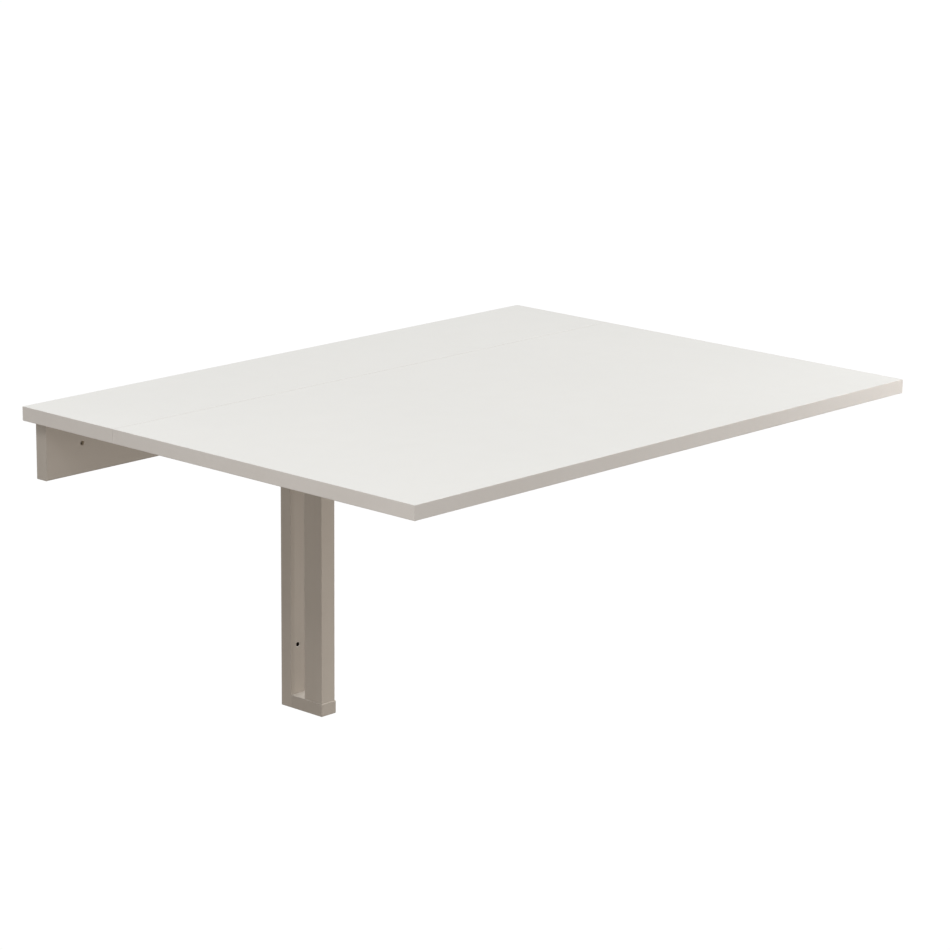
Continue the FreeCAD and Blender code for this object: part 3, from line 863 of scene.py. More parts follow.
# The bands, the batten and the leg are darker and warmer than the top's foil: partly a greige of
# their own, partly painted shade of faces that turn from the light. The batten's bands are a darker
# copy of its face, as painted shade.
BAND = Finish("edge_band_satin", Slot.BAND, (0.652, 0.617, 0.58), (0.612, 0.573, 0.531),
              drift_scale=14.0, drift=0.8, rub=0.35, dust_and_highlight=0.02, ior=1.46)
BATTEN_PAINT = Finish("batten_foil_satin", Slot.FOIL, (0.522, 0.474, 0.417), (0.478, 0.425, 0.37),
                      drift_scale=7.0, drift=0.7, ior=1.46)
BATTEN_BAND = replace(BATTEN_PAINT, name="batten_band_satin", slot=Slot.BAND, drift_scale=14.0,
                      colour=(0.455, 0.413, 0.363), shade=(0.416, 0.37, 0.322))
LEG_PAINT = Finish("leg_paint_satin", Slot.LEG, (0.467, 0.419, 0.363), (0.418, 0.366, 0.312),
                   drift_scale=9.0, drift=0.7, rough=0.58, peel_scale=1100.0, peel_depth=0.00003,
                   grain_scale=120.0, grain_depth=0.00004, grain_shade=0.35, rub=0.45,
                   rub_colour=(0.66, 0.63, 0.58), ior=1.48)
# The blocks' paint: a darker copy of the leg's, as painted shade, with a strong lighter colour on
# up-facing faces that paints a highlight on the ledge and the slot's floor.
BLOCK_PAINT = replace(LEG_PAINT, name="leg_paint_shaded_with_painted_top_highlight", colour=(0.44, 0.394, 0.341),
                      shade=(0.393, 0.345, 0.294), grain_depth=0.0, grain_shade=0.0, dust_and_highlight=1.2,
                      dust_and_highlight_colour=(0.66, 0.62, 0.565))
# Lighter than the leg's paint: a painted highlight on the cones of the leg's countersinks.
LIT_SINK = Finish("countersink_painted_highlight", Slot.LEG, (0.66, 0.63, 0.58), (0.6, 0.565, 0.51),
              drift_scale=200.0, smooth=0.4, rough=0.5, peel_scale=2500.0, rub=0.0, dust_and_highlight=0.0)
CHIP = ChipCore("drilled_board", Slot.FOIL, (0.6, 0.51, 0.395), (0.42, 0.34, 0.245),
                smooth=0.8, rough=0.95)
# Near black: painted shade inside the leg's open holes, whose real walls are raw wood in shadow.
SHADED_BORE = replace(CHIP, name="bore_painted_shade", colour=(0.035, 0.025, 0.016), shade=(0.015, 0.01, 0.007))
BEECH = Finish("dowel_beech_bare", Slot.BEECH, (0.6, 0.41, 0.24), (0.44, 0.27, 0.13),
               drift_scale=40.0, smooth=0.5, rough=0.7, peel_scale=900.0, grain_scale=260.0,
               grain_shade=0.7, grain_depth=0.00006, rub=0.15, rub_colour=(0.7, 0.52, 0.34))
ZINC = Finish("zinc_plate", Slot.ZINC, (0.6, 0.61, 0.62), (0.5, 0.5, 0.49), drift_scale=60.0,
              smooth=0.24, rough=0.42, smudge_scale=90.0, peel_scale=2500.0, peel_depth=0.000008,
              grain_scale=500.0, grain_stretch=(0.02, 1.0, 1.0), grain_depth=0.000012,
              grain_shade=0.4, rub=0.4, rub_colour=(0.8, 0.8, 0.79), dust_and_highlight=0.08, metal=1.0)
SCREW_STEEL = Finish("screw_steel_bright", Slot.SCREW, (0.63, 0.61, 0.56), (0.5, 0.47, 0.4),
                     drift_scale=150.0, smooth=0.2, rough=0.38, smudge_scale=300.0,
                     peel_scale=3000.0, peel_depth=0.000006, rub_radius=0.0002, rub=0.5,
                     rub_colour=(0.8, 0.79, 0.76), metal=1.0)
STRUT_PAINT = Finish("strut_powder_coat", Slot.STRUT, (0.62, 0.585, 0.53), (0.56, 0.525, 0.47),
                     drift_scale=30.0, smooth=0.4, peel_scale=1400.0, peel_depth=0.00006,
                     rub=0.5, rub_radius=0.0006, rub_colour=(0.42, 0.4, 0.38), dust_and_highlight=0.08)
NYLON = Finish("shoe_nylon_moulded", Slot.NYLON, (0.36, 0.355, 0.34), (0.3, 0.295, 0.28),
               drift_scale=80.0, smooth=0.38, rough=0.52, peel_scale=2600.0, peel_depth=0.00003,
               rub=0.35, rub_colour=(0.5, 0.49, 0.47), dust_and_highlight=0.06, ior=1.53, milky=0.1)
WASHER = Finish("washer_nylon_natural", Slot.WASHER, (0.68, 0.66, 0.59), (0.6, 0.57, 0.48),
                drift_scale=120.0, smooth=0.35, rough=0.5, peel_scale=2600.0, ior=1.53, milky=0.2)
RUBBER = Finish("liner_rubber_grey", Slot.RUBBER, (0.055, 0.054, 0.052), (0.035, 0.034, 0.033),
                drift_scale=90.0, smooth=0.65, rough=0.85, peel_scale=3500.0, peel_depth=0.00005,
                rub=0.5, rub_colour=(0.12, 0.118, 0.112), dust_and_highlight=0.15, dust_and_highlight_colour=(0.3, 0.29, 0.27))


# ---------------------------------------------------------------- fasteners


@dataclass(frozen=True)
class Screw:
    """A countersunk wood screw. Its head's face is at the origin and its point is up +Z."""

    radius: float
    head_radius: float
    length: float
    pitch: float
    core_share: float = 0.66
    ridge_share: float = 0.22
    neck_share: float = 0.9
    neck_chamfer: float = 0.1
    rim: float = 0.12
    rings_per_turn: int = 8
    recess: Point = (0.52, 0.13, 0.62)
    recess_taper: float = 0.55
    turn: float = 0.7
    steps: int = 20
    hole_spare: float = 0.3

    def thread(self, angle: float, height: float, radius: float) -> float:
        """The radius of the shank, which is threaded below its neck and thins to a point.

        Args:
            angle: Where it is round the shank.
            height: Where it is along the screw.
            radius: The profile's radius there.

        Returns:
            The radius with its thread.
        """
        if height < self.head_radius - self.radius + self.pitch:
            return radius
        phase = (height / self.pitch - angle / (2 * math.pi)) % 1
        ridge = max(0.0, 1 - abs(phase - 0.5) / self.ridge_share)
        outer = min(self.radius, (self.length - height) / 2)
        return outer * (self.core_share + (1 - self.core_share) * ridge)

    def solid(self) -> Solid:
        """The whole screw, with a cross recess whose floor is narrower than its mouth.

        Returns:
            The screw.
        """
        sink, neck = self.head_radius - self.radius, self.radius * self.neck_share
        start, pace = sink + self.pitch, self.pitch / self.rings_per_turn
        profile = [(0, 0), (self.head_radius - 2 * self.rim, 0),
                   (self.head_radius - self.rim, self.rim), (self.radius, sink),
                   (neck, sink + self.neck_chamfer), (neck, start - pace)]
        for step in range(int((self.length - start) / pace)):
            profile.append((self.radius, start + step * pace))
        made = Solid.turned(profile + [(0, self.length)], self.steps, self.thread)
        reach, slim, depth = (share * self.head_radius for share in self.recess)
        for across, along in ((reach, slim), (slim, reach)):
            tool = Solid.block((-across, -along, -OVERSHOOT), (across, along, depth))
            for corner in tool.bm.verts:
                if corner.co.z > 0:
                    corner.co.xy *= self.recess_taper
            made.cut([tool])
        return made

    def holes(self, places: Iterable[Matrix]) -> list[Solid]:
        """The space that the screw needs at several places, as tools.

        Args:
            places: A matrix for each screw.

        Returns:
            A tool for each screw.
        """
        radius, sink = self.radius + FIT, self.head_radius + FIT
        return [bore(radius, self.length + self.hole_spare, at, sink) for at in places]

    def row(self, places: Iterable[Matrix]) -> Solid:
        """Copies of the screw at several places, each turned a little further."""
        return self.solid().copies(placed @ Matrix.Rotation(self.turn * number, 4, "Z")
                                   for number, placed in enumerate(places))


@dataclass(frozen=True)
class Dowel:
    """A fluted dowel that starts at the origin and runs up +Z."""

    radius: float
    length: float = 30.0
    flutes: int = 18
    flute_depth: float = 0.05
    chamfer: float = 0.8

    def row(self, places: Iterable[Matrix]) -> Solid:
        """Copies of the dowel at several places, with flutes and chamfered ends.

        Args:
            places: A matrix for each dowel.

        Returns:
            All dowels as one shape.
        """
        slim, shoulder = self.radius - self.chamfer, self.length - self.chamfer
        profile = [(0, 0), (slim, 0), (self.radius, self.chamfer), (self.radius, shoulder),
                   (slim, self.length), (0, self.length)]

        def fluted(angle: float, _: float, radius: float) -> float:
            """The radius in and between the flutes."""
            wave = 0.5 + 0.5 * math.cos(self.flutes * angle)
            return radius * (1 - self.flute_depth * wave ** 3)

        return Solid.turned(profile, 4 * self.flutes, fluted).copies(places)

    def holes(self, places: Iterable[Matrix]) -> list[Solid]:
        """The tools for their holes."""
        return [bore(self.radius + FIT, self.length, placed).zoned(Zone.INSIDE)
                for placed in places]


def pin(radius: float, length: float, chamfer: float = 0.4) -> Solid:
    """A round bar with chamfered ends that starts at the origin and runs up +Z.

    Args:
        radius: Its radius.
        length: Its length.
        chamfer: The width of the chamfers.

    Returns:
        The bar.
    """
    slim = radius - chamfer
    return Solid.turned([(0, 0), (slim, 0), (radius, chamfer), (radius, length - chamfer),
                         (slim, length), (0, length)])


def ring(outer: float, inner: float, length: float, chamfer: float = 0.25) -> Solid:
    """A round tube with chamfered rims that starts at the origin and runs up +Z.

    Args:
        outer: Its outer radius.
        inner: Its inner radius.
        length: Its length.
        chamfer: The width of the chamfers.

    Returns:
        The tube.
    """
    wide, slim, top = inner + chamfer, outer - chamfer, length - chamfer
    return Solid.turned([(inner, chamfer), (wide, 0), (slim, 0), (outer, chamfer), (outer, top),
                         (slim, length), (wide, length), (inner, top)], RING_STEPS)


def rivet(radius: float, length: float, head_radius: float, head_thick: float = 1.6) -> Solid:
    """A rivet whose domed head is at its far end up +Z.

    Args:
        radius: The shank's radius.
        length: The shank's length.
        head_radius: The head's radius.
        head_thick: How high the dome is.

    Returns:
        The rivet.
    """
    ball = (head_radius**2 + head_thick**2) / (2 * head_thick)
    widest, top = math.asin(head_radius / ball), length + head_thick
    profile = [(0, 0), (radius, 0), (radius, length), (head_radius, length)]
    for step in range(1, DOME_STEPS):
        angle = widest * (1 - step / DOME_STEPS)
        profile.append((ball * math.sin(angle), top - ball * (1 - math.cos(angle))))
    return Solid.turned(profile + [(0, top)])


PLATE_SCREW = Screw(1.6, 3.2, 12, 1.3)
FOOT_SCREW = Screw(2.0, 4.0, 45, 1.9)


# ---------------------------------------------------------------- sub-assemblies


@dataclass(frozen=True)
class Plan:
    """Places that several sub-assemblies share."""

    underside: float = 34.0
    wall_board: float = 16.0
    batten_bottom: float = -34.0
    leg_bottom: float = -377.0
    hinge_y: float = -147.25
    hinge_z: float = 29.7
    hinges: tuple[tuple[str, float], ...] = (("left", -300.0), ("middle", 0.0), ("right", 300.0))
    hinge_plate: float = 1.5
    hinge_screw_step: float = 20.0
    hinge_screw_offset: float = 14.0
    angle_x: float = 150.0
    angle_screw_x: float = 8.0
    angle_screw_reach: float = 20.0
    plate_thick: float = 2.0
    joint_screw_x: float = 5.0
    joint_screw_rise: float = 9.0
    peg_x: float = 6.0
    peg_start: float = -36.0
    post_middle: float = -52.5
    slot_middle: float = -27.0
    strut_pin_y: float = -277.25
    strut_pin_z: float = 22.0
    shoe_z: float = -73.0
    pivot_radius: float = 3.0

    @property
    def plate_face(self) -> float:
        """The front of a plate that is screwed to a wall board."""
        return -self.wall_board - self.plate_thick

    @property
    def plate_level(self) -> float:
        """The underside of a plate that is screwed to the tabletop."""
        return self.underside - self.plate_thick

    def angle_screw_xs(self) -> list[float]:
        """Where the corner angles' screws are along the wall."""
        return [side * self.angle_x + step * self.angle_screw_x for side in ENDS for step in ENDS]

    def angle_wall_screws(self) -> list[Matrix]:
        """Where the corner angles are screwed to the batten."""
        level = self.underside - self.angle_screw_reach
        return Way.Y.grid(self.angle_screw_xs(), [self.plate_face], [level])

    def angle_shelf_screws(self) -> list[Matrix]:
        """Where the corner angles are screwed to the shelf."""
        depth = -self.wall_board - self.angle_screw_reach
        return Way.Z.grid(self.angle_screw_xs(), [depth], [self.plate_level])

    def hinge_screws(self, toward_wall: int) -> list[Matrix]:
        """Where the hinges are screwed to the shelf (1) or to the leaf (-1).

        Args:
            toward_wall: 1 for the shelf, -1 for the leaf.

        Returns:
            A matrix for each screw.
        """
        xs = [middle + step * self.hinge_screw_step for _, middle in self.hinges
              for step in (-1, 0, 1)]
        depth = self.hinge_y + toward_wall * self.hinge_screw_offset
        return Way.Z.grid(xs, [depth], [self.underside - self.hinge_plate])

    def joint_screws(self) -> list[Matrix]:
        """Where the joint plate is screwed to the batten and the leg.

        Returns:
            A matrix for each screw.
        """
        xs = [side * self.joint_screw_x for side in ENDS]
        zs = [self.batten_bottom + rise * self.joint_screw_rise for rise in ENDS]
        return Way.Y.grid(xs, [self.plate_face], zs)

    def leg_pegs(self, height: float) -> list[Matrix]:
        """Where a pair of dowels at one height runs into the wall boards."""
        return Way.Y.grid([-self.peg_x, self.peg_x], [self.peg_start], [height])


PLAN = Plan()


@dataclass
class Panel:
    """A board with foil on its faces and thin bands on its edges."""

    arris: float = 0.12
    seam_round: float = 0.1
    seam_fill: float = 0.15
    upper_round: float = 0.4
    lower_round: float = 0.95

    def core(self, node: str, body: Body, finish: Finish, tools: list[Solid]) -> None:
        """Builds and dresses the board itself, with its holes."""
        Solid.of_node(node).soften(self.arris, 1).cut(tools).dress(node, body, finish, CHIP)

    def band(self, node: str, body: Body, side: tuple[int, int]) -> None:
        """Builds and dresses one edge band. The board's foil laps over its top and underside.

        Args:
            node: The band's node.
            body: The body that it moves with.
            side: The side that it faces, in X and Y.
        """
        toward_seam = -1 if body is Body.FRAME else 1
        seam = side == (0, toward_seam)
        reach = (0, toward_seam if seam or side[0] else 0, 0)
        shape = Solid.of_node(node, reach, self.seam_fill)
        radii = [self.seam_round] * 2 if seam else (self.lower_round, self.upper_round)
        for level, radius in zip(ENDS, radii):
            shape.soften_at({(*side, level)}, radius, 5)
        shape.soften(self.arris, 1).zoned(Zone.RIM, lambda normal: abs(normal.z) > ALONG)
        shape.dress(node, body, BAND, rim=FOIL)

    def bands(self, board: str, body: Body) -> None:
        """Builds and dresses the bands at the ends and the front of the shelf or the leaf."""
        for name, side in (("left", (-1, 0)), ("right", (1, 0)), ("front", (0, -1))):
            self.band(f"{board}_band_{name}", body, side)


@dataclass
class Shelf(Panel):
    """The narrow board that stays level, with its bands."""

    dowels: Dowel = Dowel(4.0)
    dowel_xs: tuple[float, ...] = (-60.0, 60.0, -240.0, 240.0, -350.0, 350.0)
    dowel_in_batten: float = 18.0

    def dowel_places(self) -> list[Matrix]:
        """Where the dowels between shelf and batten stand."""
        level = PLAN.underside - self.dowel_in_batten
        return Way.Z.grid(self.dowel_xs, [-PLAN.wall_board / 2], [level])

    def build(self) -> None:
        """Builds the shelf, its bands and its dowels."""
        tools = self.dowels.holes(self.dowel_places())
        tools += PLATE_SCREW.holes(PLAN.angle_shelf_screws() + PLAN.hinge_screws(1))
        self.core("shelf_board", Body.FRAME, FOIL, tools)
        self.bands("shelf", Body.FRAME)
        self.dowels.row(self.dowel_places()).dress("shelf_dowels", Body.FRAME, BEECH)


@dataclass
class Leaf(Panel):
    """The leaf that folds down, with its bands."""

    def build(self, support: "Support") -> None:
        """Builds the leaf and its bands.

        Args:
            support: It says where the bracket is screwed on.
        """
        places = PLAN.hinge_screws(-1) + support.bracket_screws()
        self.core("leaf_board", Body.LEAF, FOIL, PLATE_SCREW.holes(places))
        self.bands("leaf", Body.LEAF)
        self.band("leaf_band_hinge_side", Body.LEAF, (0, 1))


@dataclass
class Batten(Panel):
    """The board on the wall, with its bands, its wall screw holes and its corner angles."""

    wall_screw_xs: tuple[float, ...] = (-110.0, 110.0, -325.0, 325.0)
    wall_screw_radius: float = 2.5
    wall_sink_radius: float = 3.1
    angle_leg: float = 30.0
    angle_width: float = 30.0
    angle_arris: float = 0.2
    bend: float = 2.6
    corner: float = 4.0
    gusset: float = 7.0
    gusset_width: float = 4.0
    gusset_round: float = 0.9
    gusset_root: float = 1.0

    def wall_hole(self, x: float, z: float) -> Solid:
        """The tool for a hole through a wall board, with its edge broken."""
        return bore(self.wall_screw_radius, PLAN.wall_board + OVERSHOOT,
                    Way.Y.at(x, -PLAN.wall_board, z), self.wall_sink_radius)

    def build(self, shelf: Shelf) -> None:
        """Builds the batten, its bands, the corner angles and their screws.

        Args:
            shelf: It says where the dowels between them stand.
        """
        tools = shelf.dowels.holes(shelf.dowel_places())
        tools += [self.wall_hole(x, 0) for x in self.wall_screw_xs]
        tools += PLATE_SCREW.holes(PLAN.angle_wall_screws() + PLAN.joint_screws())
        tools += Leg.dowels.holes(PLAN.leg_pegs(PLAN.underside - Leg.block_height / 2))
        self.core("wall_batten", Body.FRAME, BATTEN_PAINT, tools)
        for name, side, radius in (("left", (-1, -1, 0), self.upper_round),
                                   ("right", (1, -1, 0), self.upper_round),
                                   ("lower", (0, -1, -1), self.lower_round)):
            node = f"batten_band_{name}"
            shape = Solid.of_node(node).soften_at({side}, radius, 4).soften(self.arris, 1)
            shape.dress(node, Body.FRAME, BATTEN_BAND)
        for name, side in SIDES:
            self.angle(side).dress(f"corner_angle_{name}", Body.FRAME, ZINC)
        screws = PLATE_SCREW.row(PLAN.angle_wall_screws() + PLAN.angle_shelf_screws())
        screws.dress("corner_angle_screws", Body.FRAME, SCREW_STEEL)

    def angle(self, side: int) -> Solid:
        """One bent steel angle with rounded ends, a pressed gusset and countersunk holes.

        Args:
            side: -1 for the left angle, 1 for the right.

        Returns:
            The angle.
        """
        leg, thick = self.angle_leg, PLAN.plate_thick
        wall, top = -PLAN.wall_board, PLAN.underside
        outline = rounded([(wall, top, self.bend), (wall - leg, top, 0),
                           (wall - leg, top - thick, 0),
                           (wall - thick, top - thick, self.bend - thick),
                           (wall - thick, top - leg, 0), (wall, top - leg, 0)])
        start = side * PLAN.angle_x - self.angle_width / 2
        shape = Solid.along(outline, start, start + self.angle_width)

        def at_end(middle: Vector, way: Vector) -> bool:
            """If an edge runs through the steel at the end of a leg."""
            lower = abs(way.y) > ALONG and middle.z < top - leg + NEAR
            return lower or abs(way.z) > ALONG and middle.y < wall - leg + NEAR

        shape.soften(self.corner, 5, at_end).soften(self.angle_arris, 1)
        root, deep, half = self.gusset_root, thick + self.gusset, self.gusset_width / 2
        corners = [(wall - root, top - root), (wall - deep, top - root), (wall - root, top - deep)]
        rib = Solid.along(corners, side * PLAN.angle_x - half, side * PLAN.angle_x + half)
        rib.soften(self.gusset_round, 3, lambda middle, way: abs(way.x) < ACROSS)
        places = PLAN.angle_wall_screws() + PLAN.angle_shelf_screws()
        return shape.fuse([rib]).cut(PLATE_SCREW.holes(places))


@dataclass
class Leg:
    """The slotted leg on the wall, with its dowels, foot screws, stop pin and joint plate."""

    edge_round: float = 0.7
    foot_round: float = 1.2
    arris: float = 0.15
    block_height: float = 16.0
    screw_height: float = -301.0
    dowels: Dowel = Dowel(3.0)
    foot_screw_step: float = 7.0
    post_peg_start: float = -2.0
    stop_pin_radius: float = 3.0
    stop_pin_start: Point = (0.0, -50.0, -55.7)
    stop_pin_length: float = 42.0
    plate_half: Spot = (9.0, 16.0)
    plate_corner: float = 3.0
    plate_arris: float = 0.25

    def foot_screws(self) -> list[Matrix]:
        """Where the foot screws go up through the lower block into the post."""
        ys = [PLAN.post_middle + step * self.foot_screw_step for step in ENDS]
        return Way.Z.grid([0], ys, [PLAN.leg_bottom])

    def board(self, node: str, sides: set[Side], foot_sides: set[Side], finish: Finish,
              tools: list[Solid]) -> None:
        """Builds and dresses one painted wooden piece of the leg.

        Args:
            node: The piece's node.
            sides: Where its edges are rounded lightly.
            foot_sides: Where they are rounded more.
            finish: Its finish.
            tools: What is cut out of it.
        """
        shape = Solid.of_node(node).soften_at(foot_sides, self.foot_round, 5)
        shape.soften_at(sides, self.edge_round, 4).soften(self.arris, 1)
        shape.cut(tools).dress(node, Body.FRAME, finish, SHADED_BORE, LIT_SINK)

    def build(self, batten: Batten) -> None:
        """Builds all pieces of the leg.

        Args:
            batten: It gives the tool for the wall screw's hole.
        """
        low = PLAN.leg_pegs(PLAN.leg_bottom + self.block_height / 2)
        high = PLAN.leg_pegs(PLAN.underside - self.block_height / 2)
        peg = [Way.Z.at(0, PLAN.post_middle, self.post_peg_start)]
        stop = Way.Y.at(*self.stop_pin_start)
        stop_hole = bore(self.stop_pin_radius + FIT, self.stop_pin_length, stop)
        foot_holes = FOOT_SCREW.holes(self.foot_screws())
        plate_holes = PLATE_SCREW.holes(PLAN.joint_screws())
        front, back = ({(-1, y, 0), (1, y, 0)} for y in ENDS)
        below, above = ({(0, -1, z), (-1, 0, z), (1, 0, z)} for z in ENDS)
        self.board("leg_wall_strip", front, {(-1, 0, -1), (1, 0, -1)}, LEG_PAINT,
                   [*self.dowels.holes(low), batten.wall_hole(0, self.screw_height), stop_hole,
                    *plate_holes])
        self.board("leg_lower_block", front, below | above, BLOCK_PAINT,
                   self.dowels.holes(low) + foot_holes)
        self.board("leg_upper_block", front, below, BLOCK_PAINT, self.dowels.holes(high + peg))
        self.board("leg_guide_post", front | back, set(), LEG_PAINT,
                   [*self.dowels.holes(peg), stop_hole, *foot_holes])
        self.dowels.row(low + high + peg).dress("leg_dowels", Body.FRAME, BEECH)
        FOOT_SCREW.row(self.foot_screws()).dress("post_foot_screws", Body.FRAME, SCREW_STEEL)
        stop_pin = pin(self.stop_pin_radius, self.stop_pin_length).moved(stop)
        stop_pin.dress("shoe_stop_pin", Body.FRAME, ZINC)
        wide, tall = self.plate_half
        outline = tablet((-wide, -tall), (wide, tall), self.plate_corner)
        plate = Solid.prism(outline, 0, PLAN.plate_thick).soften(self.plate_arris, 2)
        plate.moved(Way.Y.at(0, PLAN.plate_face, PLAN.batten_bottom)).cut(plate_holes)
        plate.dress("leg_joint_plate", Body.FRAME, ZINC)
        PLATE_SCREW.row(PLAN.joint_screws()).dress("leg_joint_screws", Body.FRAME, SCREW_STEEL)


@dataclass
class Hinges:
    """The three butt hinges under the seam, with their pins and screws."""

    length: float = 60.0
    depth: float = 24.0
    clear: float = 4.3
    lap: float = 1.0
    knuckle_radius: float = 4.0
    knuckle_gap: float = 0.15
    knuckle_arris: float = 0.15
    knuckle_steps: int = 30
    roll_seam: Point = (0.2, 0.6, 0.06)
    roll_start: float = 0.14
    pin_radius: float = 1.5
    pin_chamfer: float = 0.3
    corner: float = 3.0
    plate_arris: float = 0.2
    shelf_knuckles: tuple[int, ...] = (0, 2, 4)
    leaf_knuckles: tuple[int, ...] = (1, 3)

    def knuckle(self, start: float, end: float, toward_wall: int) -> Solid:
        """One rolled knuckle with the tab that joins it to its plate.

        A fine seam shows where the roll ends.

        Args:
            start: Where it starts along the wall.
            end: Where it ends.
            toward_wall: 1 for a shelf plate's knuckle, -1 for a leaf plate's.

        Returns:
            The knuckle.
        """
        top = PLAN.underside - PLAN.hinge_z
        bottom, reach = top - PLAN.hinge_plate, self.clear + self.lap
        meet = math.asin(bottom / self.knuckle_radius)
        step_out, step_in, lead = self.roll_seam
        inner = self.knuckle_radius - step_in
        section = [(0, top), (reach, top), (reach, bottom),
                   (self.knuckle_radius * math.cos(meet) + step_out, bottom),
                   (inner * math.cos(meet - lead), inner * math.sin(meet - lead))]
        first = meet - self.roll_start
        for step in range(self.knuckle_steps + 1):
            angle = first - (first + 1.5 * math.pi) * step / self.knuckle_steps
            section.append((self.knuckle_radius * math.cos(angle),
                            self.knuckle_radius * math.sin(angle)))
        outline = [(PLAN.hinge_y + toward_wall * y, PLAN.hinge_z + z) for y, z in section]
        shape = Solid.along(outline, start + self.knuckle_gap, end - self.knuckle_gap)
        return shape.soften(self.knuckle_arris, 1, lambda middle, way: abs(way.x) < ACROSS)

    def half(self, middle: float, toward_wall: int, numbers: tuple[int, ...]) -> Solid:
        """One plate of a hinge with its knuckles.

        Args:
            middle: The hinge's middle along the wall.
            toward_wall: 1 for the shelf plate, -1 for the leaf plate.
            numbers: Which of the knuckles it has.

        Returns:
            The plate.
        """
        begin, end = middle - self.length / 2, middle + self.length / 2
        near, far = (PLAN.hinge_y + toward_wall * reach for reach in (self.clear, self.depth))
        outline = rounded([(begin, near, 0), (end, near, 0), (end, far, self.corner),
                           (begin, far, self.corner)])
        shape = Solid.prism(outline, PLAN.underside - PLAN.hinge_plate, PLAN.underside)
        span = self.length / (len(self.shelf_knuckles) + len(self.leaf_knuckles))
        shape.soften(self.plate_arris, 1).fuse(
            self.knuckle(begin + number * span, begin + (number + 1) * span, toward_wall)
            for number in numbers)
        hole = bore(self.pin_radius + FIT, self.length + OVERSHOOT,
                    Way.X.at(begin, PLAN.hinge_y, PLAN.hinge_z))
        screws = [at for at in PLAN.hinge_screws(toward_wall)
                  if abs(at.translation.x - middle) < self.length]
        return shape.cut([hole, *PLATE_SCREW.holes(screws)])

    def build(self) -> None:
        """Builds all hinges, their pins and their screws."""
        for name, middle in PLAN.hinges:
            plate = self.half(middle, 1, self.shelf_knuckles)
            plate.dress(f"hinge_{name}_shelf_plate", Body.FRAME, ZINC)
            plate = self.half(middle, -1, self.leaf_knuckles)
            plate.dress(f"hinge_{name}_leaf_plate", Body.LEAF, ZINC)
            start = Way.X.at(middle - self.length / 2, PLAN.hinge_y, PLAN.hinge_z)
            axle = pin(self.pin_radius, self.length, self.pin_chamfer).moved(start)
            axle.dress(f"hinge_{name}_pin", Body.FRAME, ZINC)
        for board, body, way in (("shelf", Body.FRAME, 1), ("leaf", Body.LEAF, -1)):
            screws = PLATE_SCREW.row(PLAN.hinge_screws(way))
            screws.dress(f"hinge_{board}_screws", body, SCREW_STEEL)


